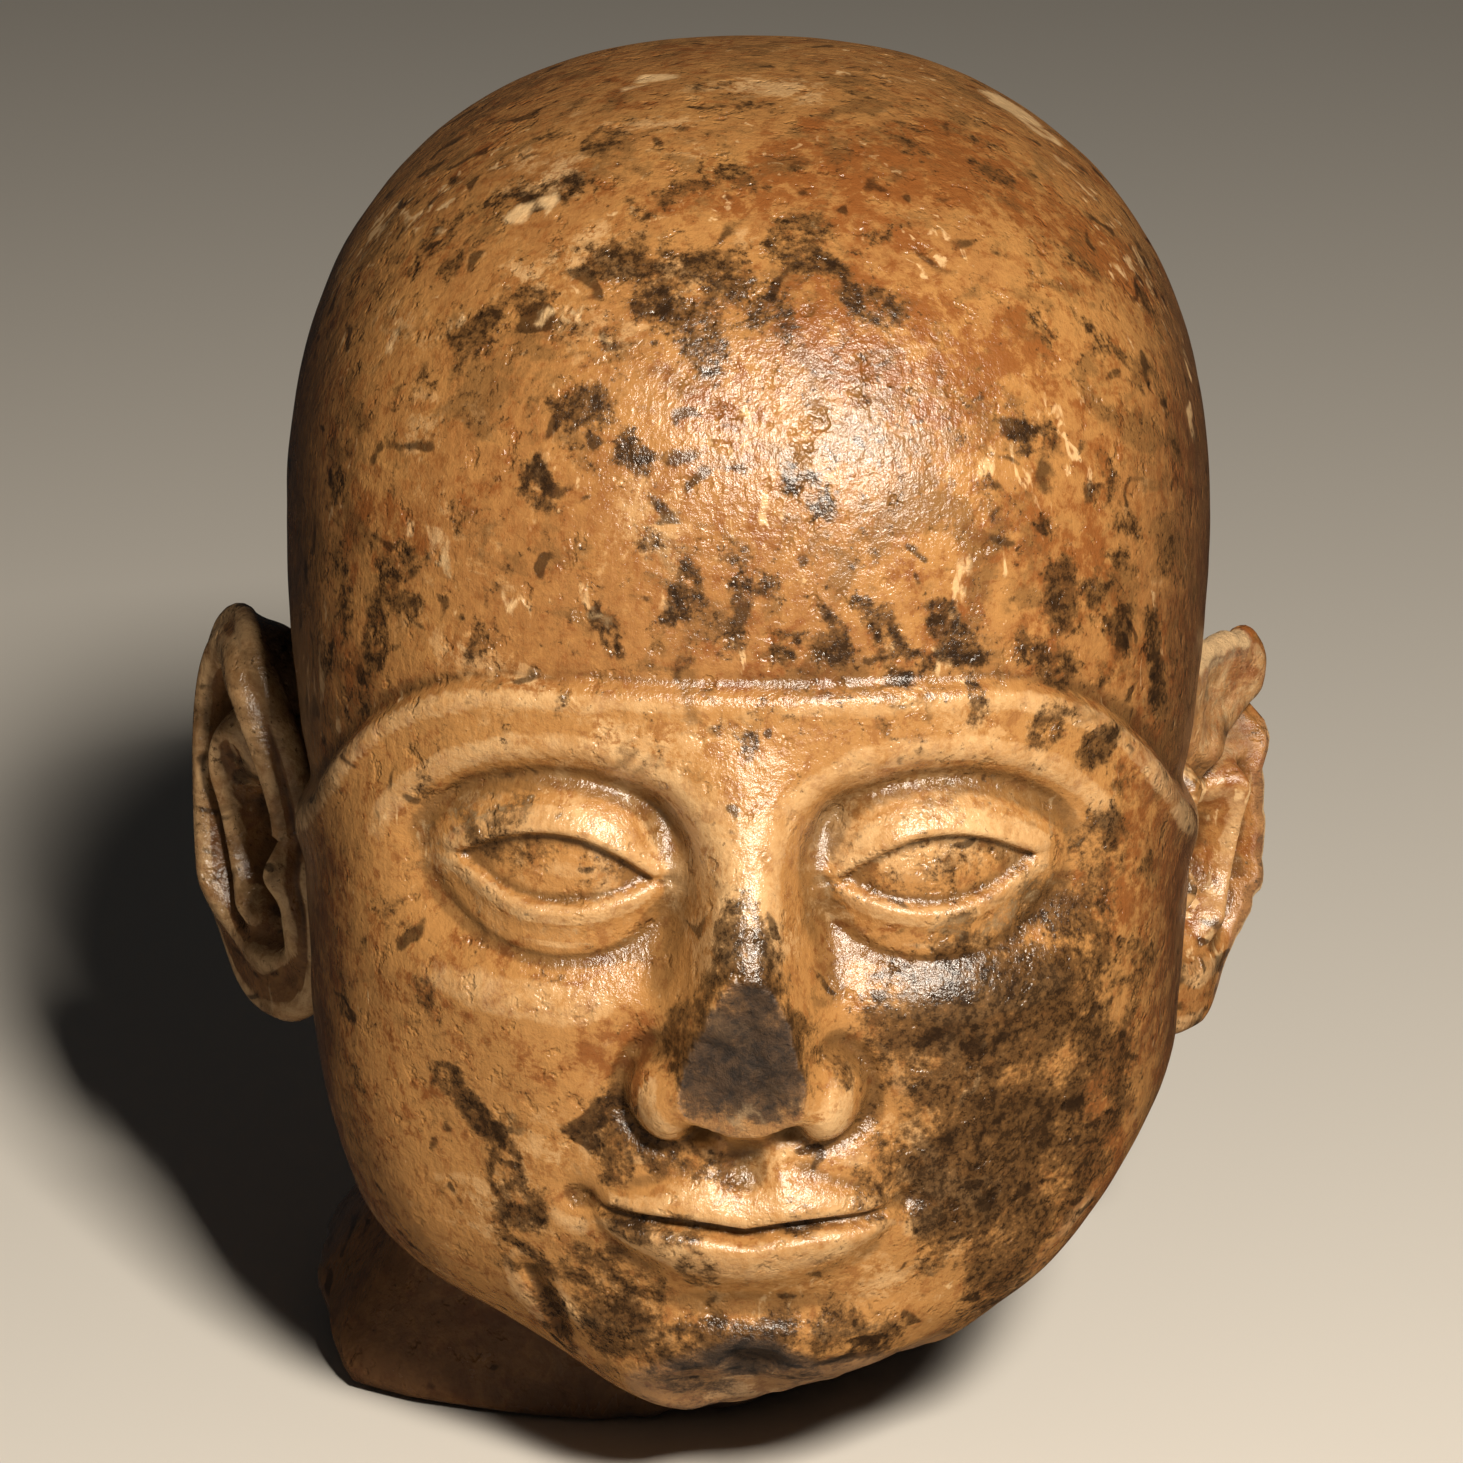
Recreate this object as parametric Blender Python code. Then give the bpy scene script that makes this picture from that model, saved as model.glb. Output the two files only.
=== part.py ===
"""A stone head in a close-fitting cap, broken at the nose, chin, one ear and the neck.

The head faces -Y and stands on the flat part of its broken neck, whose middle is the origin.
Carving is given in parts: the head is 160 parts wide, 192 deep and 226 high, from chin to crown.
"""

import math

import bmesh
import bpy
import numpy as np

# Driving dimensions, in metres
CAP_WIDTH = 0.160
HEAD_DEPTH = 0.192
HEAD_HEIGHT = 0.215
NECK_STUB = 0.0206  # chin to the flat underside
EAR_HEIGHT = 0.068
EAR_WIDTH = 0.035
EAR_THICKNESS = 0.0055

PART = np.array([CAP_WIDTH / 160, HEAD_DEPTH / 192, HEAD_HEIGHT / 226])
FLOOR = -NECK_STUB / PART[2]

# Mesh fineness
COLUMNS = 180
ROWS = 150
EAR_STEPS = 56
EAR_RINGS = 16
EAR_EDGE_RINGS = 3
FRONT_TURN = math.radians(-62)
HEAD_TRIANGLES = 7300
EAR_TRIANGLES = 1300

# The head is read along rays from this point, in parts
HEART = np.array([0.0, 0.0, 88.0])

# Rounded masses in parts: middle, half sizes, squareness, softness of the join
MASSES = (
    ((0, 11, 142), (80, 96, 84), 2.34, 0),
    ((0, -14, 92), (73.5, 73, 82), 2.45, 12),
    ((0, -20, 44), (66, 61, 44), 2.35, 14),
    ((0, -58, 16), (25, 26, 17), 2.2, 14),
)
NECK_MIDDLE = 24
NECK_HALF_WIDTH, NECK_HALF_DEPTH = 61, 50
NECK_TOP = 90
NECK_FLARE, NECK_FLARE_LEFT = 12, 13
NECK_SQUARENESS = 2.8
# The cap's lower edge behind, in parts: its height at the ears, its fall to the nape, its thickness
NAPE_EDGE, NAPE_FALL, NAPE_STEP = 62, 26, 1.5

# Lines of the carving in parts: (distance from the middle, height above the chin)
CAP_EDGE = ((0, 139.6), (30, 139.2), (45, 137.2), (55, 131.8), (63, 123.2), (70, 110.5), (76, 92), (79, 70))
BROW = ((5, 115), (12, 122), (22, 126.5), (33, 127), (44, 124), (54, 118), (63, 110))
UPPER_LID = ((15, 105.5), (20, 109.7), (26, 112.8), (32, 113.6), (39, 112), (47, 107.4))
LOWER_LID = ((15, 105.5), (20, 103.2), (26, 101.6), (32, 101.2), (39, 102.6), (47, 107.4))
MOUTH_LINE = ((0, 44.3), (6, 45.4), (14, 46.1), (21, 46.3), (26.5, 47.4))
LIP_TOP = ((0, 52), (2.5, 52.6), (6, 54.2), (10, 53.8), (16, 51.8), (22, 49.6), (26.5, 47.4))
LIP_LOW = ((0, 33.6), (6, 33.9), (12, 35.4), (18, 38.8), (23, 43.2), (26.5, 47.4))
# (height above the chin, height of the nose off the face) and (height, half width)
NOSE_RIDGE = (
    (54, 0), (59, 0.3), (63, 6), (66, 14.5), (70, 21.5), (75, 24), (82, 22.2),
    (93, 17.5), (104, 12.6), (113, 8.6), (122, 5), (131, 1.8), (140, 0),
)
NOSE_HALF = ((59, 12.5), (69, 14), (79, 13), (88, 12), (100, 10.6), (111, 10), (121, 13), (131, 19), (140, 23))

# A long chip beside the chin, from end to end, in parts
CHIP = ((-35.5, 29.5), (-30.5, 17.5))

# Ears in parts: where each stands, and both ears' turn from straight back and lean
EAR_PLACES = {-1: (-85.5, 8, 84), 1: (79.8, 8, 82)}
EAR_TURN = math.radians(36)
EAR_LEAN = math.radians(8)


def ease(start, end, value):
    """0 before start, 1 after end and a smooth rise between."""
    share = np.clip((value - start) / (end - start), 0.0, 1.0)
    return share * share * (3 - 2 * share)


def hill(distance, width):
    return np.exp(-((distance / width) ** 2))


def soft_min(first, second, reach):
    """The lower of two fields, rounded where they are closer than reach."""
    share = np.clip(0.5 + 0.5 * (second - first) / reach, 0, 1)
    return second * (1 - share) + first * share - reach * share * (1 - share)


def soft_max(first, second, reach):
    return -soft_min(-first, -second, reach)


def curve(points, at):
    """A smooth curve through points (at, value)."""
    ats, values = np.array(points, float).T
    slopes = np.gradient(values, ats)
    i = np.clip(np.searchsorted(ats, at) - 1, 0, len(ats) - 2)
    step = ats[i + 1] - ats[i]
    t = np.clip((at - ats[i]) / step, 0, 1)
    return (
        (2 * t**3 - 3 * t**2 + 1) * values[i]
        + (t**3 - 2 * t**2 + t) * step * slopes[i]
        + (3 * t**2 - 2 * t**3) * values[i + 1]
        + (t**3 - t**2) * step * slopes[i + 1]
    )


def above(points, side, z):
    """How far a point is above a line of the carving, square to it."""
    at = np.clip(side, points[0][0], points[-1][0])
    slope = 2 * (curve(points, at + 0.25) - curve(points, at - 0.25))
    return (z - curve(points, at)) / np.sqrt(1 + slope * slope)


def corner_value(x, y, z, seed):
    """A fixed number from -1 to 1 for each corner of a lattice."""
    mix = (x * 374761393 + y * 668265263 + z * 2147483647 + seed * 1274126177) & 0xFFFFFFFF
    mix = ((mix ^ (mix >> 13)) * 1103515245) & 0xFFFFFFFF
    mix = ((mix ^ (mix >> 16)) * 2246822519) & 0xFFFFFFFF
    return ((mix ^ (mix >> 15)) & 0xFFFF) / 32767.5 - 1.0


def grain(points, size, seed):
    """Smooth bumps about size apart, from -1 to 1."""
    cell = np.floor(points / size).astype(np.int64)
    f = points / size - cell
    rise = f * f * f * (f * (f * 6 - 15) + 10)
    total = 0
    for corner in np.ndindex(2, 2, 2):
        weight = np.prod(np.where(corner, rise, 1 - rise), axis=-1)
        total = total + weight * corner_value(*np.moveaxis(cell + corner, -1, 0), seed)
    return total


def rough(first, second, size, seed):
    """A broken surface over two directions: bumps of three sizes, each half the last."""
    points = np.stack(np.broadcast_arrays(first, 0.0, second), axis=-1)
    return sum(grain(points, size / 2**n, seed + n) / 2**n for n in range(3))


def head_mass(x, y, z):
    """Below 0 inside the unbroken head and neck."""
    total = None
    for middle, half, square, reach in MASSES:
        away = [np.abs((v - m) / h) ** square for v, m, h in zip((x, y, z), middle, half)]
        mass = (sum(away) ** (1 / square) - 1) * min(half)
        total = mass if total is None else soft_min(total, mass, reach)
    flare = 1 - ease(-28, 25, z)
    wide = NECK_HALF_WIDTH + (NECK_FLARE + NECK_FLARE_LEFT * (x < 0)) * flare
    deep = NECK_HALF_DEPTH + 4 * flare
    away = np.abs(x / wide) ** NECK_SQUARENESS + np.abs((y - NECK_MIDDLE) / deep) ** NECK_SQUARENESS
    neck = np.maximum((away ** (1 / NECK_SQUARENESS) - 1) * deep, z - NECK_TOP)
    return soft_min(total, neck, 9)


def right_slant(x, y):
    """Height of the slanting plane that ends the jaw and the neck on the right."""
    return 1.5 * (x - 48) - 0.2 * (y - 24)


def neck_break(x, y):
    """Height of the underside: flat behind and left, rising rough to the front and right."""
    front = 0.35 * x - 0.45 * y - 28.1
    right = np.minimum(right_slant(x, y), 22)
    left = -1.3 * (x + 73) - 0.15 * (y - 24) - 22
    slope = np.maximum(np.maximum(front, right), left) + 3 * rough(x, y, 22, 11)
    return soft_max(np.full_like(slope, FLOOR), slope, 1.0)


def chin_break(x, z):
    """The depth at which the chin is broken off, a rough slope down and back."""
    return -85 + 0.8 * (19 + 0.04 * x - z) + 2.8 * rough(x, z, 17, 21)


def broken_head(x, y, z):
    """Below 0 inside the head once the chin and neck are broken."""
    field = soft_max(head_mass(x, y, z), (chin_break(x, z) - y) / 1.3, 1.5)
    field = soft_max(field, (right_slant(x, y) - z) / 1.8, 7)
    return soft_max(field, neck_break(x, y) - z, 3 + 5 * ease(-30, -58, x))


def ray_hits(field, azimuth, elevation):
    """The points where rays from the heart leave a field, found by halving."""
    azimuth, elevation = np.broadcast_arrays(azimuth, elevation)
    ray = np.stack(
        [
            np.cos(elevation) * np.sin(azimuth),
            -np.cos(elevation) * np.cos(azimuth),
            np.sin(elevation),
        ],
        axis=-1,
    )
    near, far = np.full(azimuth.shape, 5.0), np.full(azimuth.shape, 260.0)
    for _ in range(32):
        middle = (near + far) / 2
        inside = field(*np.moveaxis(HEART + ray * middle[..., None], -1, 0)) < 0
        near, far = np.where(inside, middle, near), np.where(inside, far, middle)
    return HEART + ray * near[..., None]


def eyes(side, z):
    """Sockets under a soft brow, domed eyeballs, raised lids round a flat almond eye."""
    socket = (1 - ease(-7, 2.2, above(BROW, side, z))) * ease(82, 102, z)
    depth = 6.6 * socket * ease(4.5, 14, side) * (1 - ease(44, 66, side))
    depth = depth + 2.6 * hill(side - 13.5, 6) * hill(z - 112, 10)
    round_eye = np.clip(1 - ((side - 31) / 21) ** 2 - ((z - 107) / 15.5) ** 2, 0, 1)
    over = above(UPPER_LID, side, z)
    under = -above(LOWER_LID, side, z)
    beyond = np.maximum(np.maximum(UPPER_LID[0][0] - side, side - UPPER_LID[-1][0]), 0)
    outside = np.maximum(over, under)
    outside = np.where(beyond > 0, np.hypot(beyond, np.maximum(outside, 0)), outside)
    ends = 1 - ease(0, 6, beyond)
    upper = 1.5 * ease(-0.3, 0.9, over) * (1 - ease(3.2, 8.5, over)) + 0.5 * hill(over - 1.3, 1.2)
    lower = 1.2 * ease(-0.3, 0.9, under) * (1 - ease(1.2, 5.5, under))
    return 6.4 * round_eye**0.72 - depth + (upper + lower) * ends - 1.3 * (1 - ease(-0.8, 0.6, outside))


def nose(x, z):
    """A ridge and two wings with nostrils, cut off by a rough break."""
    side = np.abs(x)
    across = side / curve(NOSE_HALF, np.clip(z, NOSE_HALF[0][0], NOSE_HALF[-1][0]))
    ridge = curve(NOSE_RIDGE, z) * np.exp(-(np.abs(across / 0.86) ** 2.6))
    from_wing = np.sqrt(((side - 12.5) / 7.2) ** 2 + ((z - 69) / 8.4) ** 2)
    wing = 11 * np.clip(1 - from_wing**2, 0, 1) ** 0.62
    whole = soft_max(ridge, wing, 6)
    whole = whole - 1.1 * hill(from_wing - 1.16, 0.2) * ease(9, 15, side)
    whole = whole - 5 * hill(side - 7, 3) * hill(z - 63.5, 2.4)
    whole = np.maximum(whole, 0) + np.minimum(whole, 0) * ease(55, 61, z)
    left_over = 11.2 + (z - 64) * 0.165 + 1.3 * rough(x, z, 8, 5)
    return np.where((z > 58) & (z < 101), np.minimum(whole, left_over), whole)


def mouth(side, z):
    """Closed lips on a low swelling, a groove between them and a hollow below."""
    corner = MOUTH_LINE[-1][0]
    at = np.clip(side, 0, corner - 0.01)
    line = curve(MOUTH_LINE, at)
    up = np.clip((z - line) / np.maximum(curve(LIP_TOP, at) - line, 0.6), 0, 3)
    down = np.clip((line - z) / np.maximum(line - curve(LIP_LOW, at), 0.6), 0, 3)
    full = np.sqrt(np.clip(1 - (side / corner) ** 2.2, 0, 1))
    upper = 3.6 * (1 - ease(0.2, 1.35, up)) + 0.6 * (1 - ease(0.8, 1.15, up))
    lower = 4.4 * (1 - ease(0.3, 1.45, down)) + 0.5 * (1 - ease(0.8, 1.15, down))
    swell = 5.2 * np.exp(-(((side / 30) ** 2 + ((z - 46) / 19) ** 2) ** 1.3))
    groove = (3.2 * full + 1.2) * hill(z - line, 1.4) * (1 - ease(corner - 1, corner + 2.5, side))
    dimple = 2.0 * hill(np.hypot(side - corner - 0.5, z - MOUTH_LINE[-1][1]), 3.4)
    furrow = ease(51.5, 55.5, z) * (1 - ease(58.5, 62.5, z))
    furrow = furrow * (0.7 * hill(side - 5.5, 2.4) - 1.2 * hill(side, 3.2))
    hollow = 2.8 * hill(side, 20) * hill(z - 27.5, 5)
    return swell + full * np.where(z > line, upper, lower) - groove - dimple + furrow - hollow


def cheeks(side, z):
    """Cheekbones, the cheek below them, and the soft fold from the nose to the mouth."""
    fold = 33 - 15 * np.clip((z - 46) / 24, 0, 1)
    fold_height = ease(38, 56, z) * (1 - ease(62, 78, z))
    return (
        3.4 * hill(side - 38, 19) * hill(z - 82, 19)
        - 1.5 * hill(side - fold, 6.5) * fold_height
        - 1.6 * hill(side - 48, 13) * hill(z - 50, 17)
        - 1.5 * hill(side - 60, 12) * hill(z - 122, 12)
    )


def head_points(azimuth, elevation):
    """The carved surface along rays: the broken masses, the raised face and its relief."""
    points = ray_hits(broken_head, azimuth, elevation)
    x, y, z = np.moveaxis(points, -1, 0)
    side = np.abs(x)
    whole = ease(0, 3, z - neck_break(x, y))
    outward = np.stack([x, y - 10, 0.25 * (z - 88)], axis=-1)
    outward /= np.linalg.norm(outward, axis=-1, keepdims=True)
    proud = 1.5 + 1.4 * ease(40, 66, side)
    inside = -above(CAP_EDGE, np.clip(side, 0.3, 78.5), z)
    step = proud * ease(-1.3, 1.3, inside) + (0.4 + 0.5 * ease(40, 66, side)) * hill(inside - 2.4, 1.9)
    step = (step - 0.5 * hill(inside + 1.6, 1.1)) * (1 - ease(-14, 2, y))
    below_cap = NAPE_EDGE - NAPE_FALL * ease(22, 80, y) - z
    step = step - NAPE_STEP * ease(-1.2, 1.2, below_cap) * ease(20, 28, y)
    flutes = grain(points * [1, 1, 0.22], 9, 61) * (1 - ease(6, 26, z)) * ease(-28, -4, y)
    step = (step + 1.1 * flutes) * whole
    x, y, z = np.moveaxis(points + outward * step[..., None], -1, 0)
    side = np.abs(x)
    facing = (1 - ease(-40, -10, y)) * ease(15, 24, z) * whole
    relief = eyes(side, z) + nose(x, z) + mouth(side, z) + cheeks(side, z)
    chip = 2.4 * hill(from_segment(x, z, *CHIP), 2.0) * (y < 0)
    return np.stack([x, y - relief * facing + chip, z], axis=-1)


def crowded(count, start, end, density):
    """Count stations from start to end, closer together where density is higher."""
    fine = np.linspace(start, end, 2001)
    total = np.cumsum(density(fine))
    return np.interp(np.linspace(total[0], total[-1], count), total, fine)


def underside_turn(azimuth):
    """The elevation at which each column passes from the wall to the underside, even in front."""
    low, high = np.full_like(azimuth, -1.55), np.full_like(azimuth, -0.5)
    for _ in range(24):
        middle = (low + high) / 2
        x, y, z = np.moveaxis(ray_hits(head_mass, azimuth, middle), -1, 0)
        wall = z > neck_break(x, y)
        low, high = np.where(wall, low, middle), np.where(wall, middle, high)
    away = np.abs(azimuth[:, None] - azimuth[None, :])
    weight = hill(np.minimum(away, 2 * math.pi - away), 0.09) * np.gradient(azimuth)[None, :]
    turn = (weight * high[None, :]).sum(axis=1) / weight.sum(axis=1)
    behind = ease(0.7, 1.5, np.abs(azimuth))
    return FRONT_TURN * (1 - behind) + turn * behind


def ring_faces(rings, count):
    """Faces of a closed surface: rings of count points, then one point at each end."""
    ring, along = np.meshgrid(np.arange(rings - 1), np.arange(count), indexing="ij")
    after = (along + 1) % count
    quads = np.stack(
        [ring * count + along, (ring + 1) * count + along, (ring + 1) * count + after, ring * count + after],
        axis=-1,
    ).reshape(-1, 4)
    first, last = rings * count, rings * count + 1
    tail = (rings - 1) * count
    fans = [(first, i, (i + 1) % count) for i in range(count)]
    fans += [(last, tail + (i + 1) % count, tail + i) for i in range(count)]
    return quads.tolist() + fans


def head_mesh():
    azimuth = crowded(COLUMNS + 1, -math.pi, math.pi, lambda a: 1 + 2 * np.exp(-((a / 0.85) ** 4)))[:-1]
    turn = underside_turn(azimuth)
    wall_rows = ROWS * 5 // 6
    wall = crowded(wall_rows + 1, 0, 1, lambda s: 1 + 1.6 * np.exp(-(((s - 0.66) / 0.3) ** 4)))[1:]
    under = np.linspace(0, 1, ROWS - wall_rows + 2)[1:-1]
    top = math.pi / 2
    elevation = np.concatenate(
        [
            top + (turn - top) * wall[:, None],
            turn + (-top - turn) * under[:, None],
        ]
    )
    rings = head_points(azimuth, elevation)
    poles = head_points(np.zeros(2), np.array([top, -top]))
    return np.concatenate([rings.reshape(-1, 3), poles]), ring_faces(len(rings), COLUMNS)


def from_segment(a, b, start, end):
    """Distance to a straight stroke on the ear."""
    run = (end[0] - start[0], end[1] - start[1])
    share = ((a - start[0]) * run[0] + (b - start[1]) * run[1]) / (run[0] ** 2 + run[1] ** 2)
    share = np.clip(share, 0, 1)
    return np.hypot(a - start[0] - share * run[0], b - start[1] - share * run[1])


def ear_relief(a, b, rim, turn):
    """Height of the ear's front: rolled rim, inner fold, bowl, its flap and the lobe."""
    above_lobe = ease(-30, -14, b)
    height = (4.8 * np.exp(-(np.abs((rim - 0.86) / 0.15) ** 3)) - 2.4 * hill(rim - 0.65, 0.07)) * above_lobe
    degrees = np.degrees(turn)
    height = height + 4.4 * hill(rim - 0.47, 0.11) * ease(-95, -60, degrees) * (1 - ease(85, 120, degrees))
    height = height - 10 * np.exp(-(np.hypot((a + 2) / 9, (b + 7) / 13) ** 4))
    height = height + 3.2 * np.exp(-(np.hypot((a - 3) / 6, (b - 9) / 8) ** 3))
    height = height + 7 * hill(degrees - 128, 42) * ease(0.35, 0.85, rim)
    height = height + 5 * hill(np.hypot(a + 12.5, b + 6), 5) + 3.6 * hill(np.hypot(a - 0.5, b + 18), 5)
    return height + 2 * hill(np.hypot(a + 1, b + 27), 8)


def ear_loss(turn):
    """Share of the rim broken off round one ear: flat at the top, a notch, ragged down the back."""
    degrees = np.degrees(turn)
    top = ease(58, 72, degrees) * (1 - ease(112, 135, degrees))
    back = ease(-80, -50, degrees) * (1 - ease(10, 26, degrees))
    ragged = 0.04 * rough(20 * np.cos(turn), 36 * np.sin(turn), 7, 31)
    return 0.09 * top + 0.2 * back + 0.06 * hill(degrees - 18, 8) + ragged * np.maximum(top, back)


def ear_break(a, b):
    """Where one ear's upper front is split away (0 to 1), the split's height and the notch behind it."""
    share = ease(8, 15, b + 0.3 * a) * (1 - ease(9, 14, a - 0.2 * b))
    notch = 4.5 * hill(from_segment(a, b, (2, 10), (17, 19)), 2.4)
    return share, 3 + 0.12 * (b - 14) + 1.3 * rough(a, b, 13, 41), notch


def ear_mesh(side):
    """A closed shell in rings: out over the front, round the edge, in over the back."""
    turn = np.linspace(-math.pi, math.pi, EAR_STEPS, endpoint=False)
    kept = 1 - ear_loss(turn) if side > 0 else np.ones_like(turn)
    half_height = EAR_HEIGHT / PART[2] / 2
    half_width = EAR_WIDTH / PART[0] / 2
    thick = EAR_THICKNESS / PART[0]
    shares = (np.arange(1, EAR_RINGS + 1) / EAR_RINGS) ** 0.85
    square = (np.abs(np.cos(turn)) ** 2.7 + np.abs(np.sin(turn)) ** 2.7) ** (-1 / 2.7)
    rim = shares[:, None] * kept
    up = half_height * np.sin(turn) * rim * square
    back = half_width * np.cos(turn) * rim * square + 0.02 * up
    front = ear_relief(back, up, rim, turn)
    if side > 0:
        share, split, notch = ear_break(back, up)
        front = front * (1 - share) + split * share - notch
    root = np.exp(-(np.hypot((back + 6) / 12, (up - 3) / 29) ** 4))
    rear = front[-1] * shares[:, None] ** 2 - thick - 26 * root
    edge = math.pi * np.arange(1, EAR_EDGE_RINGS + 1)[:, None] / (EAR_EDGE_RINGS + 1)
    bulge = 1 + thick / 2 * np.sin(edge) / np.hypot(back[-1], up[-1])
    rings = [
        np.concatenate([back, back[-1] * bulge, back[::-1]]),
        np.concatenate([up, up[-1] * bulge, up[::-1]]),
        np.concatenate([front, front[-1] - thick / 2 * (1 - np.cos(edge)), rear[::-1]]),
    ]
    middle = ear_relief(*np.zeros(4)), -thick - 26 * math.exp(-(math.hypot(6 / 12, 3 / 29) ** 4))
    flat = [np.append(v.ravel(), ends) for v, ends in zip(rings, ((0, 0), (0, 0), middle))]
    backward = np.array([math.sin(EAR_TURN), math.cos(EAR_TURN), 0])
    upward = np.array([0, math.sin(EAR_LEAN), math.cos(EAR_LEAN)])
    outward = np.array([math.cos(EAR_TURN), -math.sin(EAR_TURN), 0])
    points = sum(v[:, None] * d for v, d in zip(flat, (backward, upward, outward)))
    return EAR_PLACES[side] + points * [side, 1, 1], ring_faces(len(rings[0]), EAR_STEPS)


def add_object(name, points, faces, collection):
    """An object from points in parts, standing on the flat underside."""
    mesh = bpy.data.meshes.new(name)
    mesh.from_pydata(((points - [0, 0, FLOOR]) * PART).tolist(), [], faces)
    shell = bmesh.new()
    shell.from_mesh(mesh)
    bmesh.ops.recalc_face_normals(shell, faces=shell.faces)
    shell.to_mesh(mesh)
    shell.free()
    obj = bpy.data.objects.new(name, mesh)
    collection.objects.link(obj)
    return obj


def use_fewer_faces(obj, triangles):
    """A Decimate that leaves this many triangles, most of them where the form turns."""
    obj.data.calc_loop_triangles()
    thin = obj.modifiers.new("fewer faces", "DECIMATE")
    thin.ratio = triangles / len(obj.data.loop_triangles)


def stone():
    """Hard brown limestone, polished."""
    material = bpy.data.materials.new("stone")
    material.use_nodes = True
    shader = material.node_tree.nodes["Principled BSDF"]
    shader.inputs["Base Color"].default_value = (0.38, 0.19, 0.066, 1)
    shader.inputs["Roughness"].default_value = 0.42
    shader.inputs["Metallic"].default_value = 0.0
    return material


def main():
    for old in list(bpy.data.objects):
        bpy.data.objects.remove(old, do_unlink=True)
    part = bpy.data.collections.new("Stone head")
    helpers = bpy.data.collections.new("Ears to join")
    for collection in (part, helpers):
        bpy.context.scene.collection.children.link(collection)
    helpers.hide_render = True

    head = add_object("head", *head_mesh(), part)
    head.data.materials.append(stone())
    use_fewer_faces(head, HEAD_TRIANGLES)
    for name, side in (("ear_left_in_view", -1), ("ear_right_in_view", 1)):
        ear = add_object(name, *ear_mesh(side), helpers)
        use_fewer_faces(ear, EAR_TRIANGLES)
        ear.hide_render = True
        ear.display_type = "WIRE"
        join = head.modifiers.new(name, "BOOLEAN")
        join.operation = "UNION"
        join.solver = "EXACT"
        join.object = ear


main()
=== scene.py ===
import math

import bpy
import numpy as np
from bpy.props import FloatProperty, FloatVectorProperty, IntProperty, PointerProperty
from mathutils import Matrix, Vector


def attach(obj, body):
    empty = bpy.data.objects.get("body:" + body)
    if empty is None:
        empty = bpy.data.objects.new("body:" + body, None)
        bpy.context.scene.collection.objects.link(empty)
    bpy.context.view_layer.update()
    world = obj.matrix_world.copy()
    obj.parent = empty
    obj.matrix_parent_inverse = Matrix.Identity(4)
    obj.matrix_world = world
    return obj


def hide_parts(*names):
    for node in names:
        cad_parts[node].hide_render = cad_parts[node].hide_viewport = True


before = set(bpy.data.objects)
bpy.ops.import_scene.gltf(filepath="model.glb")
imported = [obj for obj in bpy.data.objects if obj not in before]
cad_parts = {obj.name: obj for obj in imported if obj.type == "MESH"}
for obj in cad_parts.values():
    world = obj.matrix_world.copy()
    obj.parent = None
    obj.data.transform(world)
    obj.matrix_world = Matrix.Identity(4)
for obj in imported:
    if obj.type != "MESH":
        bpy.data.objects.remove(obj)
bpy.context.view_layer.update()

bl_info = {
    "name": "Carved Stone Head",
    "version": (1, 0, 0),
    "blender": (4, 5, 0),
    "location": "3D View > Sidebar > Stone Head",
    "description": "A worn, polished stone head in a close cap, broken at the nose, chin, ear and neck",
    "category": "Add Mesh",
}

# The carving is given in parts: the head is 160 parts wide, 192 deep and 226 high from chin to crown.
PARTS_WIDE, PARTS_DEEP, PARTS_HIGH = 160, 192, 226
HEART = np.array([0.0, 0.0, 88.0])  # rays from here meet the surface once

# Rounded masses in parts: middle, half sizes, squareness, softness of the join
MASSES = (
    ((0, 11, 142), (80, 96, 84), 2.34, 0),
    ((0, -14, 92), (73.5, 73, 82), 2.45, 12),
    ((0, -20, 44), (66, 61, 44), 2.35, 14),
    ((0, -58, 16), (25, 26, 17), 2.2, 14),
)
NECK_MIDDLE = 24
NECK_HALF_WIDTH, NECK_HALF_DEPTH = 61, 50
NECK_TOP = 90
NECK_FLARE, NECK_FLARE_LEFT = 12, 13
NECK_SQUARENESS = 2.8
NAPE_EDGE, NAPE_FALL, NAPE_STEP = 62, 26, 1.5
FRONT_TURN = math.radians(-62)

# Lines of the carving in parts: (distance from the middle, height above the chin)
CAP_EDGE = ((0, 139.6), (30, 139.2), (45, 137.2), (55, 131.8), (63, 123.2), (70, 110.5), (76, 92), (79, 70))
BROW = ((5, 115), (12, 122), (22, 126.5), (33, 127), (44, 124), (54, 118), (63, 110))
UPPER_LID = ((15, 105.5), (20, 109.7), (26, 112.8), (32, 113.6), (39, 112), (47, 107.4))
LOWER_LID = ((15, 105.5), (20, 103.2), (26, 101.6), (32, 101.2), (39, 102.6), (47, 107.4))
MOUTH_LINE = ((0, 44.3), (6, 45.4), (14, 46.1), (21, 46.3), (26.5, 47.4))
LIP_TOP = ((0, 52), (2.5, 52.6), (6, 54.2), (10, 53.8), (16, 51.8), (22, 49.6), (26.5, 47.4))
LIP_LOW = ((0, 33.6), (6, 33.9), (12, 35.4), (18, 38.8), (23, 43.2), (26.5, 47.4))
NOSE_RIDGE = (
    (54, 0), (59, 0.3), (63, 6), (66, 14.5), (70, 21.5), (75, 24), (82, 22.2),
    (93, 17.5), (104, 12.6), (113, 8.6), (122, 5), (131, 1.8), (140, 0),
)
NOSE_HALF = (
    (59, 12.5), (69, 14), (79, 13), (88, 12), (100, 10.6), (111, 10), (121, 13), (131, 19), (140, 23),
)

CHIP = ((-35.5, 29.5), (-30.5, 17.5))  # a long chip beside the chin, from end to end

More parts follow.
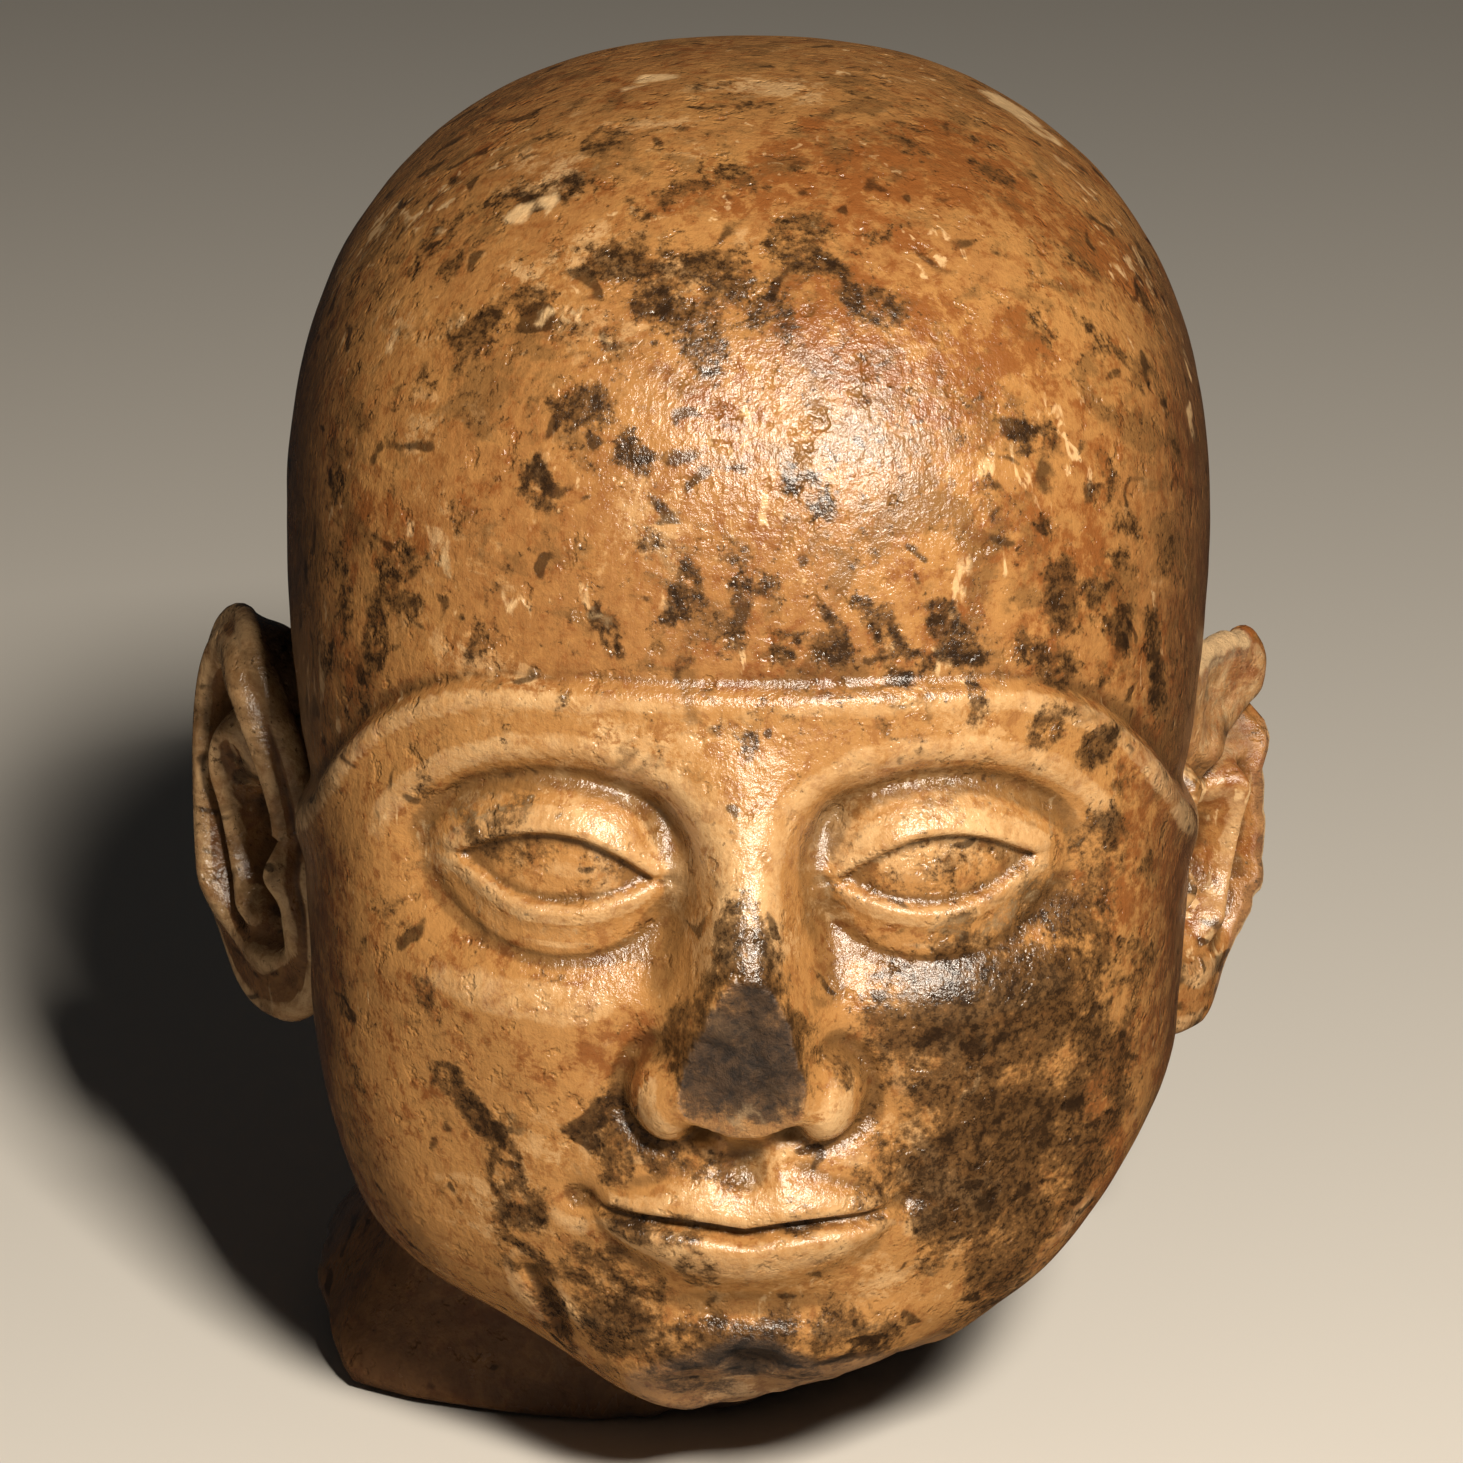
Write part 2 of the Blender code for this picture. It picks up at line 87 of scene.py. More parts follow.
EAR_PLACES = {-1: (-85.5, 8, 84), 1: (79.8, 8, 82)}  # in parts, by side
EAR_TURN = math.radians(36)
EAR_LEAN = math.radians(8)
EAR_SQUARENESS = 2.7
ROOT_MIDDLE, ROOT_HALF, ROOT_DEPTH = (-6, 3), (12, 29), 26  # where the ear grows from the head

# The picture's width, the camera's focal length and the point straight ahead of it, in pixels
PICTURE_WIDTH = 1463
FOCAL_LENGTH = 6304
AHEAD = (747, 751)


def linear(hex_colour):
    """An sRGB hex colour as linear red, green, blue: each channel under the standard sRGB curve."""
    channels = [int(hex_colour[i : i + 2], 16) / 255 for i in (1, 3, 5)]
    return [c / 12.92 if c <= 0.04045 else ((c + 0.055) / 1.055) ** 2.4 for c in channels]


def colour(name, description, hex_colour):
    """A colour setting, given as sRGB hex and kept as linear values."""
    return FloatVectorProperty(
        name=name, description=description, subtype="COLOR", size=3, min=0, max=1, default=linear(hex_colour)
    )


def length(name, description, default):
    """A length setting in metres."""
    return FloatProperty(name=name, description=description, default=default, min=0.001, unit="LENGTH")


def fraction(name, description, default):
    """A setting from 0 to 1."""
    return FloatProperty(name=name, description=description, default=default, min=0, max=1, subtype="FACTOR")


def angle(name, description, degrees):
    """An angle setting, given in degrees."""
    default = math.radians(degrees)
    return FloatProperty(name=name, description=description, default=default, subtype="ANGLE")


def power(name, description, default):
    """The power of a light in watts."""
    return FloatProperty(name=name, description=description, default=default, min=0, unit="POWER")


class HeadSettings(bpy.types.PropertyGroup):
    """Sizes of the head and its ears."""

    cap_width: length("Cap width", "Width across the cap over the ears", 0.160)
    depth: length("Depth", "From the forehead's front to the back of the cap", 0.192)
    height: length("Height", "From the chin to the crown", 0.215)
    neck_stub: length("Neck stub", "From the chin down to the flat underside", 0.0206)
    ear_height: length("Ear height", "From the lobe to the top of the rim", 0.068)
    ear_width: length("Ear width", "Across the ear at its middle", 0.035)
    ear_thickness: length("Ear thickness", "Of the stone at the ear's rim", 0.0055)
    columns: IntProperty(name="Columns", description="Vertices round the head", default=320, min=60)
    rows: IntProperty(name="Rows", description="Vertices from crown to underside", default=290, min=60)
    ear_steps: IntProperty(name="Ear steps", description="Vertices round an ear", default=150, min=24)
    ear_rings: IntProperty(name="Ear rings", description="Rings on each face of an ear", default=46, min=8)


class StoneSettings(bpy.types.PropertyGroup):
    """Colours and finish of the stone."""

    ochre: colour("Ochre", "Main colour of the polished stone", "#96683A")
    tan: colour("Tan", "Paler ochre of the face", "#AA7B46")
    rust: colour("Rust", "Iron-stained areas, most on the cap", "#7E4A22")
    # Dark is also the painted shade in the creases and hollows
    dark: colour("Dark", "Manganese blotches and speckles", "#24170C")
    smoke: colour("Smoke", "Greyish brown inside and round the blotches", "#5B3F22")
    # Umber is also painted shade: on the left ear, the sides, the left jaw and the neck under the jaw
    umber: colour("Umber", "Earth left on the neck and in the hollows", "#493020")
    cream: colour("Cream", "Worn edges, fresh chips and pale flecks", "#DDB988")
    roughness: fraction("Roughness", "Roughness of the polished surface", 0.25)
    dull: fraction("Break roughness", "Roughness of the broken surface", 0.8)


class StageSettings(bpy.types.PropertyGroup):
    """The floor, the light and the camera."""

    floor: colour("Floor", "Colour of the plain floor", "#D9D6D0")
    elevation: angle("Elevation", "Camera height over the horizon", 18)
    roll: angle("Roll", "Turn of the camera about its own view", 0.2)
    distance: length("Distance", "From the camera to the head", 1.1)
    key: power("Key light", "Power of the main light", 35)
    fill: power("Fill light", "Power of the soft fill light", 0.25)
    sky: FloatProperty(name="Sky", description="Strength of the light from all round", default=0.015, min=0)


def ease(start, end, value):
    """0 before start, 1 after end, and 3t^2 - 2t^3 between."""
    share = np.clip((value - start) / (end - start), 0.0, 1.0)
    return share * share * (3 - 2 * share)


def hill(distance, width):
    """A bell: e to the minus (distance / width) squared."""
    return np.exp(-((distance / width) ** 2))


def soft_min(first, second, reach):
    """The lower of two fields, with a parabola between where they are closer than reach."""
    share = np.clip(0.5 + 0.5 * (second - first) / reach, 0, 1)
    return second * (1 - share) + first * share - reach * share * (1 - share)


def soft_max(first, second, reach):
    """The higher of two fields, rounded in the same way."""
    return -soft_min(-first, -second, reach)


def curve(points, at):
    """A cubic through points (at, value), its slope at each taken from the two beside it."""
    ats, values = np.array(points, float).T
    slopes = np.gradient(values, ats)
    i = np.clip(np.searchsorted(ats, at) - 1, 0, len(ats) - 2)
    step = ats[i + 1] - ats[i]
    t = np.clip((at - ats[i]) / step, 0, 1)
    return (
        (2 * t**3 - 3 * t**2 + 1) * values[i]
        + (t**3 - 2 * t**2 + t) * step * slopes[i]
        + (3 * t**2 - 2 * t**3) * values[i + 1]
        + (t**3 - t**2) * step * slopes[i + 1]
    )


def above(points, side, z):
    """Height over a line of the carving, divided by the root of 1 + slope squared to stand square to it."""
    at = np.clip(side, points[0][0], points[-1][0])
    slope = 2 * (curve(points, at + 0.25) - curve(points, at - 0.25))
    return (z - curve(points, at)) / np.sqrt(1 + slope * slope)


def corner_value(x, y, z, seed):
    """A fixed number from -1 to 1 for each corner of a lattice, by mixing the corner's whole numbers."""
    mix = (x * 374761393 + y * 668265263 + z * 2147483647 + seed * 1274126177) & 0xFFFFFFFF
    mix = ((mix ^ (mix >> 13)) * 1103515245) & 0xFFFFFFFF
    mix = ((mix ^ (mix >> 16)) * 2246822519) & 0xFFFFFFFF
    return ((mix ^ (mix >> 15)) & 0xFFFF) / 32767.5 - 1.0


def grain(points, size, seed):
    """Smooth bumps: the corner values of a lattice of this size, eased along each axis."""
    cell = np.floor(points / size).astype(np.int64)
    f = points / size - cell
    rise = f * f * f * (f * (f * 6 - 15) + 10)
    total = 0
    for corner in np.ndindex(2, 2, 2):
        weight = np.prod(np.where(corner, rise, 1 - rise), axis=-1)
        total = total + weight * corner_value(*np.moveaxis(cell + corner, -1, 0), seed)
    return total


def rough(first, second, size, seed, sizes=3):
    """A broken surface over two directions: bumps, each half as wide and half as high as the last."""
    points = np.stack(np.broadcast_arrays(first, 0.0, second), axis=-1)
    return sum(grain(points, size / 2**n, seed + n) / 2**n for n in range(sizes))


def head_mass(x, y, z):
    """Below 0 inside: superellipsoids joined softly, and an elliptical neck that widens downwards."""
    total = None
    for middle, half, square, reach in MASSES:
        away = [np.abs((v - m) / h) ** square for v, m, h in zip((x, y, z), middle, half)]
        mass = (sum(away) ** (1 / square) - 1) * min(half)
        total = mass if total is None else soft_min(total, mass, reach)
    flare = 1 - ease(-28, 25, z)
    wide = NECK_HALF_WIDTH + (NECK_FLARE + NECK_FLARE_LEFT * (x < 0)) * flare
    deep = NECK_HALF_DEPTH + 4 * flare
    away = np.abs(x / wide) ** NECK_SQUARENESS + np.abs((y - NECK_MIDDLE) / deep) ** NECK_SQUARENESS
    neck = np.maximum((away ** (1 / NECK_SQUARENESS) - 1) * deep, z - NECK_TOP)
    return soft_min(total, neck, 9)


def floor_height(size):
    """The flat underside's height in parts."""
    return -size.neck_stub / size.height * PARTS_HIGH


def right_slant(x, y):
    """Height of the slanting plane that ends the jaw and the neck on the right."""
    return 1.5 * (x - 48) - 0.2 * (y - 24)


def neck_break(x, y, floor):
    """The higher of the flat underside and three tilted planes with bumps, for the broken neck."""
    front = 0.35 * x - 0.45 * y - 28.1
    right = np.minimum(right_slant(x, y), 22)
    left = -1.3 * (x + 73) - 0.15 * (y - 24) - 22
    slope = np.maximum(np.maximum(front, right), left) + 3 * rough(x, y, 22, 11)
    return soft_max(np.full_like(slope, floor), slope, 1.0)


def chin_break(x, z):
    """The depth of the broken chin: a plane sloping down and back, with bumps."""
    return -85 + 0.8 * (19 + 0.04 * x - z) + 2.8 * rough(x, z, 17, 21)


def ray_hits(field, azimuth, elevation):
    """The points where rays from the heart leave a field: each ray's stretch is halved 32 times."""
    azimuth, elevation = np.broadcast_arrays(azimuth, elevation)
    ray = np.stack(
        [
            np.cos(elevation) * np.sin(azimuth),
            -np.cos(elevation) * np.cos(azimuth),
            np.sin(elevation),
        ],
        axis=-1,
    )
    near, far = np.full(azimuth.shape, 5.0), np.full(azimuth.shape, 260.0)
    for _ in range(32):
        middle = (near + far) / 2
        inside = field(*np.moveaxis(HEART + ray * middle[..., None], -1, 0)) < 0
        near, far = np.where(inside, middle, near), np.where(inside, far, middle)
    return HEART + ray * near[..., None]


def from_lids(side, z):
    """Distances over the upper lid's line, under the lower's and beyond their ends, and the farthest."""
    over = above(UPPER_LID, side, z)
    under = -above(LOWER_LID, side, z)
    beyond = np.maximum(np.maximum(UPPER_LID[0][0] - side, side - UPPER_LID[-1][0]), 0)
    outside = np.maximum(over, under)
    return over, under, beyond, np.where(beyond > 0, np.hypot(beyond, np.maximum(outside, 0)), outside)


def eyes(side, z):
    """Height over the face: minus a socket under the brow, plus a dome, plus bands along both lids."""
    socket = (1 - ease(-7, 2.2, above(BROW, side, z))) * ease(82, 102, z)
    depth = 6.6 * socket * ease(4.5, 14, side) * (1 - ease(44, 66, side))
    depth = depth + 2.6 * hill(side - 13.5, 6) * hill(z - 112, 10)
    round_eye = np.clip(1 - ((side - 31) / 21) ** 2 - ((z - 107) / 15.5) ** 2, 0, 1)
    over, under, beyond, outside = from_lids(side, z)
    ends = 1 - ease(0, 6, beyond)
    upper = 1.5 * ease(-0.3, 0.9, over) * (1 - ease(3.2, 8.5, over)) + 0.5 * hill(over - 1.3, 1.2)
    lower = 1.2 * ease(-0.3, 0.9, under) * (1 - ease(1.2, 5.5, under))
    return 6.4 * round_eye**0.72 - depth + (upper + lower) * ends - 1.3 * (1 - ease(-0.8, 0.6, outside))


def nose(x, z):
    """Height over the face: a rounded ridge and two low half domes, cut off by a bumpy plane."""
    side = np.abs(x)
    across = side / curve(NOSE_HALF, np.clip(z, NOSE_HALF[0][0], NOSE_HALF[-1][0]))
    ridge = curve(NOSE_RIDGE, z) * np.exp(-(np.abs(across / 0.86) ** 2.6))
    from_wing = np.sqrt(((side - 12.5) / 7.2) ** 2 + ((z - 69) / 8.4) ** 2)
    wing = 11 * np.clip(1 - from_wing**2, 0, 1) ** 0.62
    whole = soft_max(ridge, wing, 6)
    whole = whole - 1.1 * hill(from_wing - 1.16, 0.2) * ease(9, 15, side)
    whole = whole - 5 * hill(side - 7, 3) * hill(z - 63.5, 2.4)
    whole = np.maximum(whole, 0) + np.minimum(whole, 0) * ease(55, 61, z)
    left_over = 11.2 + (z - 64) * 0.165 + 1.3 * rough(x, z, 8, 5, 4)
    return np.where((z > 58) & (z < 101), np.minimum(whole, left_over), whole), whole - left_over


def mouth(side, z):
    """Height over the face: two lips fading from their meeting line on a swelling, minus the line between."""
    corner = MOUTH_LINE[-1][0]
    at = np.clip(side, 0, corner - 0.01)
    line = curve(MOUTH_LINE, at)
    up = np.clip((z - line) / np.maximum(curve(LIP_TOP, at) - line, 0.6), 0, 3)
    down = np.clip((line - z) / np.maximum(line - curve(LIP_LOW, at), 0.6), 0, 3)
    full = np.sqrt(np.clip(1 - (side / corner) ** 2.2, 0, 1))
    upper = 3.6 * (1 - ease(0.2, 1.35, up)) + 0.6 * (1 - ease(0.8, 1.15, up))
    lower = 4.4 * (1 - ease(0.3, 1.45, down)) + 0.5 * (1 - ease(0.8, 1.15, down))
    swell = 5.2 * np.exp(-(((side / 30) ** 2 + ((z - 46) / 19) ** 2) ** 1.3))
    groove = (3.2 * full + 1.2) * hill(z - line, 1.4) * (1 - ease(corner - 1, corner + 2.5, side))
    dimple = 2.0 * hill(np.hypot(side - corner - 0.5, z - MOUTH_LINE[-1][1]), 3.4)
    furrow = ease(51.5, 55.5, z) * (1 - ease(58.5, 62.5, z))
    furrow = furrow * (0.7 * hill(side - 5.5, 2.4) - 1.2 * hill(side, 3.2))
    hollow = 2.8 * hill(side, 20) * hill(z - 27.5, 5)
    return swell + full * np.where(z > line, upper, lower) - groove - dimple + furrow - hollow


def cheeks(side, z):
    """Height over the face: a bell at the cheekbone, minus bells along the fold and at the temple."""
    fold = 33 - 15 * np.clip((z - 46) / 24, 0, 1)
    fold_height = ease(38, 56, z) * (1 - ease(62, 78, z))
    return (
        3.4 * hill(side - 38, 19) * hill(z - 82, 19)
        - 1.5 * hill(side - fold, 6.5) * fold_height
        - 1.6 * hill(side - 48, 13) * hill(z - 50, 17)
        - 1.5 * hill(side - 60, 12) * hill(z - 122, 12)
    )


def head_points(azimuth, elevation, floor):
    """The carved surface along rays, and its broken share.

    The masses cut by the breaks, moved outwards where the face stands proud of the cap and inwards
    below its nape edge, with flutes on the neck and a slight unevenness all over. Then they are moved
    forwards by the heights of the eyes, nose, mouth and cheeks, and back by the chip.
    """

    def broken_head(x, y, z):
        field = soft_max(head_mass(x, y, z), (chin_break(x, z) - y) / 1.3, 1.5)
        field = soft_max(field, (right_slant(x, y) - z) / 1.8, 7)
        return soft_max(field, neck_break(x, y, floor) - z, 3 + 5 * ease(-30, -58, x))

    points = ray_hits(broken_head, azimuth, elevation)
    x, y, z = np.moveaxis(points, -1, 0)
    side = np.abs(x)
    whole = ease(0, 3, z - neck_break(x, y, floor))
    chin = 1 - ease(0.5, 2.5, y - chin_break(x, z))
    outward = np.stack([x, y - 10, 0.25 * (z - 88)], axis=-1)
    outward /= np.linalg.norm(outward, axis=-1, keepdims=True)
    proud = 1.5 + 1.4 * ease(40, 66, side)
    inside = -above(CAP_EDGE, np.clip(side, 0.3, 78.5), z)
    step = proud * ease(-1.3, 1.3, inside) + (0.4 + 0.5 * ease(40, 66, side)) * hill(inside - 2.4, 1.9)
    step = (step - 0.5 * hill(inside + 1.6, 1.1)) * (1 - ease(-14, 2, y))
    below_cap = NAPE_EDGE - NAPE_FALL * ease(22, 80, y) - z
    step = step - NAPE_STEP * ease(-1.2, 1.2, below_cap) * ease(20, 28, y)
    flutes = grain(points * [1, 1, 0.22], 9, 61) * (1 - ease(6, 26, z)) * ease(-28, -4, y)
    uneven = 0.3 * grain(points, 23, 71) + 0.2 * grain(points, 9, 72) - 0.3
    step = (step + 1.1 * flutes + uneven) * whole
    x, y, z = np.moveaxis(points + outward * step[..., None], -1, 0)
    side = np.abs(x)
    facing = (1 - ease(-40, -10, y)) * ease(15, 24, z) * whole
    nose_height, lost = nose(x, z)
    relief = eyes(side, z) + nose_height + mouth(side, z) + cheeks(side, z)
    scar = ease(-0.6, 1.2, lost) * (z > 58) * (z < 101) * facing
    broken = np.maximum(np.maximum(scar, chin), 1 - whole)
    chip = 2.4 * hill(from_segment(x, z, *CHIP), 2.0) * (y < 0)
    return np.stack([x, y - relief * facing + chip, z], axis=-1), broken


def crowded(count, start, end, density):
    """Count stations from start to end, spaced so that each stretch holds the same total density."""
    fine = np.linspace(start, end, 2001)
    total = np.cumsum(density(fine))
    return np.interp(np.linspace(total[0], total[-1], count), total, fine)


def underside_turn(azimuth, floor):
    """The elevation where each column turns under: found by halving, averaged by a bell, even in front."""
    low, high = np.full_like(azimuth, -1.55), np.full_like(azimuth, -0.5)
    for _ in range(24):
        middle = (low + high) / 2
        x, y, z = np.moveaxis(ray_hits(head_mass, azimuth, middle), -1, 0)
        wall = z > neck_break(x, y, floor)
        low, high = np.where(wall, low, middle), np.where(wall, middle, high)
    away = np.abs(azimuth[:, None] - azimuth[None, :])
    weight = hill(np.minimum(away, 2 * math.pi - away), 0.09) * np.gradient(azimuth)[None, :]
    turn = (weight * high[None, :]).sum(axis=1) / weight.sum(axis=1)
    behind = ease(0.7, 1.5, np.abs(azimuth))
    return FRONT_TURN * (1 - behind) + turn * behind


def ring_faces(rings, count):
    """Faces of a closed surface: rings of count points, then one point at each end."""
    ring, along = np.meshgrid(np.arange(rings - 1), np.arange(count), indexing="ij")
    after = (along + 1) % count
    quads = np.stack(
        [ring * count + along, (ring + 1) * count + along, (ring + 1) * count + after, ring * count + after],
        axis=-1,
    ).reshape(-1, 4)
    first, last = rings * count, rings * count + 1
    tail = (rings - 1) * count
    start = np.arange(count)
    fans = np.stack([np.full(count, first), start, (start + 1) % count], axis=-1)
    ends = np.stack([np.full(count, last), tail + (start + 1) % count, tail + start], axis=-1)
    return quads.tolist() + fans.tolist() + ends.tolist()


def head_shape(size):
    """The head's points, their rings and their shares of wear, and of earth with painted shade.

    Rays are closer together over the face, and one row of them follows the neck's edge.
    """
    floor = floor_height(size)
    azimuth = crowded(size.columns + 1, -math.pi, math.pi, lambda a: 1 + 2 * np.exp(-((a / 0.85) ** 4)))[:-1]
    turn = underside_turn(azimuth, floor)
    wall_rows = size.rows * 5 // 6
    wall = crowded(wall_rows + 1, 0, 1, lambda s: 1 + 1.6 * np.exp(-(((s - 0.66) / 0.3) ** 4)))[1:]
    under = np.linspace(0, 1, size.rows - wall_rows + 2)[1:-1]
    top = math.pi / 2
    elevation = np.concatenate(
        [
            top + (turn - top) * wall[:, None],
            turn + (-top - turn) * under[:, None],
        ]
    )
    rings, broken = head_points(azimuth, elevation, floor)
    poles, poles_broken = head_points(np.zeros(2), np.array([top, -top]), floor)
    points = np.concatenate([rings.reshape(-1, 3), poles])
    broken = np.concatenate([broken.ravel(), poles_broken])
    x, y, z = points.T
    # Earth and patina on the neck, both sides and the left jaw, and with them painted shade: darker towards
    # the outer edges, on the left jaw away from the key light, and on the neck under the jaw
    jaw = 0.55 * ease(36, 54, -x - 0.42 * (z - 20)) * (1 - ease(95, 120, z))
    sides = 0.8 * ease(50, 80, np.abs(x))
    film_and_shade = np.maximum(jaw, sides) * (1 - 0.45 * ease(20, 75, y))
    neck = (1 - ease(-5, 75, z + 6 * rough(x, y, 30, 71))) * ease(-66, -40, y)
    earth_and_shade = np.maximum(film_and_shade, 0.85 * neck)
    return points, len(rings), size.columns, broken, np.zeros_like(broken), earth_and_shade


def from_segment(a, b, start, end):
    """Distance to a straight stroke: to the nearest point of the line between its ends."""
    run = (end[0] - start[0], end[1] - start[1])
    share = ((a - start[0]) * run[0] + (b - start[1]) * run[1]) / (run[0] ** 2 + run[1] ** 2)
    share = np.clip(share, 0, 1)
    return np.hypot(a - start[0] - share * run[0], b - start[1] - share * run[1])


def ear_relief(a, b, rim, turn):
    """Height of the ear's front: bells along rim, inner fold, flaps and lobe, minus one for the bowl."""
    above_lobe = ease(-30, -14, b)
    height = (4.8 * np.exp(-(np.abs((rim - 0.86) / 0.15) ** 3)) - 2.4 * hill(rim - 0.65, 0.07)) * above_lobe
    degrees = np.degrees(turn)
    height = height + 4.4 * hill(rim - 0.47, 0.11) * ease(-95, -60, degrees) * (1 - ease(85, 120, degrees))
    height = height - 10 * np.exp(-(np.hypot((a + 2) / 9, (b + 7) / 13) ** 4))
    height = height + 3.2 * np.exp(-(np.hypot((a - 3) / 6, (b - 9) / 8) ** 3))
    height = height + 7 * hill(degrees - 128, 42) * ease(0.35, 0.85, rim)
    height = height + 5 * hill(np.hypot(a + 12.5, b + 6), 5) + 3.6 * hill(np.hypot(a - 0.5, b + 18), 5)
    return height + 2 * hill(np.hypot(a + 1, b + 27), 8)


def ear_loss(turn):
    """Share of the rim broken off round one ear: two eased, bumpy stretches and a bell for a notch."""
    degrees = np.degrees(turn)
    top = ease(58, 72, degrees) * (1 - ease(112, 135, degrees))
    back = ease(-80, -50, degrees) * (1 - ease(10, 26, degrees))
    ragged = 0.04 * rough(20 * np.cos(turn), 36 * np.sin(turn), 7, 31)
    return 0.09 * top + 0.2 * back + 0.06 * hill(degrees - 18, 8) + ragged * np.maximum(top, back)


def ear_break(a, b):
    """One ear's split, as a share between two eased edges and a bumpy plane, and a bell-shaped notch."""
    share = ease(8, 15, b + 0.3 * a) * (1 - ease(9, 14, a - 0.2 * b))
    notch = 4.5 * hill(from_segment(a, b, (2, 10), (17, 19)), 2.4)
    return share, 3 + 0.12 * (b - 14) + 1.3 * rough(a, b, 13, 41), notch


def ear_root(back, up):
    """How far the ear's back reaches into the head: a flat-topped bell."""
    across = (back - ROOT_MIDDLE[0]) / ROOT_HALF[0], (up - ROOT_MIDDLE[1]) / ROOT_HALF[1]
    return ROOT_DEPTH * np.exp(-(np.hypot(*across) ** 4))


def ear_shape(size, side):
    """A closed shell in rings: superellipses shrunk to a middle, front and back, and a half round edge."""
    turn = np.linspace(-math.pi, math.pi, size.ear_steps, endpoint=False)
    loss = ear_loss(turn) if side > 0 else np.zeros_like(turn)
    half_height = size.ear_height / size.height * PARTS_HIGH / 2
    half_width = size.ear_width / size.cap_width * PARTS_WIDE / 2
    thick = size.ear_thickness / size.cap_width * PARTS_WIDE
    shares = (np.arange(1, size.ear_rings + 1) / size.ear_rings) ** 0.85
    rim = shares[:, None] * (1 - loss)
    square = np.abs(np.cos(turn)) ** EAR_SQUARENESS + np.abs(np.sin(turn)) ** EAR_SQUARENESS
    square = square ** (-1 / EAR_SQUARENESS)
    up = half_height * np.sin(turn) * rim * square
    back = half_width * np.cos(turn) * rim * square + 0.02 * up
    front = ear_relief(back, up, rim, turn)
    share = np.zeros_like(front)
    if side > 0:
        share, split, notch = ear_break(back, up)
        front = front * (1 - share) + split * share - notch
    rear = front[-1] * shares[:, None] ** 2 - thick - ear_root(back, up)
    edge = math.pi * np.arange(1, 8)[:, None] / 8
    bulge = 1 + thick / 2 * np.sin(edge) / np.hypot(back[-1], up[-1])
    backs = np.concatenate([back, back[-1] * bulge, back[::-1]])
    ups = np.concatenate([up, up[-1] * bulge, up[::-1]])
    outs = np.concatenate([front, front[-1] - thick / 2 * (1 - np.cos(edge)), rear[::-1]])
    middle = ear_relief(*np.zeros(4)), -thick - ear_root(0, 0)
    flat = [np.append(v.ravel(), ends) for v, ends in zip((backs, ups, outs), ((0, 0), (0, 0), middle))]
    backward = np.array([math.sin(EAR_TURN), math.cos(EAR_TURN), 0])
    upward = np.array([0, math.sin(EAR_LEAN), math.cos(EAR_LEAN)])
    outward = np.array([math.cos(EAR_TURN), -math.sin(EAR_TURN), 0])
    points = sum(v[:, None] * d for v, d in zip(flat, (backward, upward, outward)))
    points = EAR_PLACES[side] + points * [side, 1, 1]
    at_edge = ease(0.93, 0.97, np.concatenate([shares, np.ones(7), shares[::-1] * 0.98]))
    at_edge = at_edge[:, None] * ease(0.02, 0.06, loss)
    at_edge[: len(share)] = np.maximum(at_edge[: len(share)], 0.45 * share)
    pale = 0.9 * at_edge
    if side > 0:
        pale[: len(share)] = np.maximum(0.5 * share, 0.36 - 0.3 * ease(0.7, 0.95, rim))
    broken = np.append(at_edge.ravel(), [0, 0])
    # Painted shade: the left ear, on the side away from the key light, takes far more of the umber coat than
    # the right
    earth_and_shade = np.full_like(broken, 0.12 if side > 0 else 0.75)
    return points, len(backs), size.ear_steps, broken, np.append(pale.ravel(), [0, 0]), earth_and_shade


def bending(rings, count, points, spread):
    """How far each point stands out from its four neighbours, averaged over spread passes.

    The curvature in 1 / mm along each grid direction: the normal times the change of direction
    between the two stretches that meet at the point, over their mean length.
    """
    grid = points[: rings * count].reshape(rings, count, 3)
    along = np.roll(grid, -1, axis=1) - np.roll(grid, 1, axis=1)
    down = np.gradient(grid, axis=0)
    normal = np.cross(down, along)
    normal /= np.maximum(np.linalg.norm(normal, axis=-1, keepdims=True), 1e-9)
    outward = np.sign((normal * (grid - grid.mean(axis=(0, 1)))).sum())
    normal *= outward
    total = 0
    least = 0.15  # mm, so that points that almost meet don't count too much
    for axis in (0, 1):
        if axis:
            after, before = np.roll(grid, -1, axis=1), np.roll(grid, 1, axis=1)
        else:
            after = np.concatenate([grid[1:], grid[-1:]])
            before = np.concatenate([grid[:1], grid[:-1]])
        ahead, behind = after - grid, grid - before
        ahead_length = np.maximum(np.linalg.norm(ahead, axis=-1), least)
        behind_length = np.maximum(np.linalg.norm(behind, axis=-1), least)
        turn = ahead / ahead_length[..., None] - behind / behind_length[..., None]
        total = total - (turn * normal).sum(axis=-1) / ((ahead_length + behind_length) / 2)
    for _ in range(spread):
        padded = np.concatenate([total[:1], total, total[-1:]])
        beside = np.roll(total, 1, axis=1) + np.roll(total, -1, axis=1)
        total = (padded[:-2] + padded[2:] + beside + total) / 5
    return np.append(total.ravel(), [0.0, 0.0])


def spread_out(rings, count, values, steps):
    """Each point's value becomes the highest of its own and its four neighbours', steps times over."""
    grid = values[: rings * count].reshape(rings, count)
    for _ in range(steps):
        padded = np.concatenate([grid[:1], grid, grid[-1:]])
        beside = np.maximum(np.roll(grid, 1, axis=1), np.roll(grid, -1, axis=1))
        grid = np.maximum(np.maximum(padded[:-2], padded[2:]), np.maximum(beside, grid))
    return np.append(grid.ravel(), values[rings * count :])


# Sockets of a colour mix, which share their names with those for numbers
MIX_SHARE, MIX_UNDER, MIX_OVER, MIX_RESULT = 0, 6, 7, 2


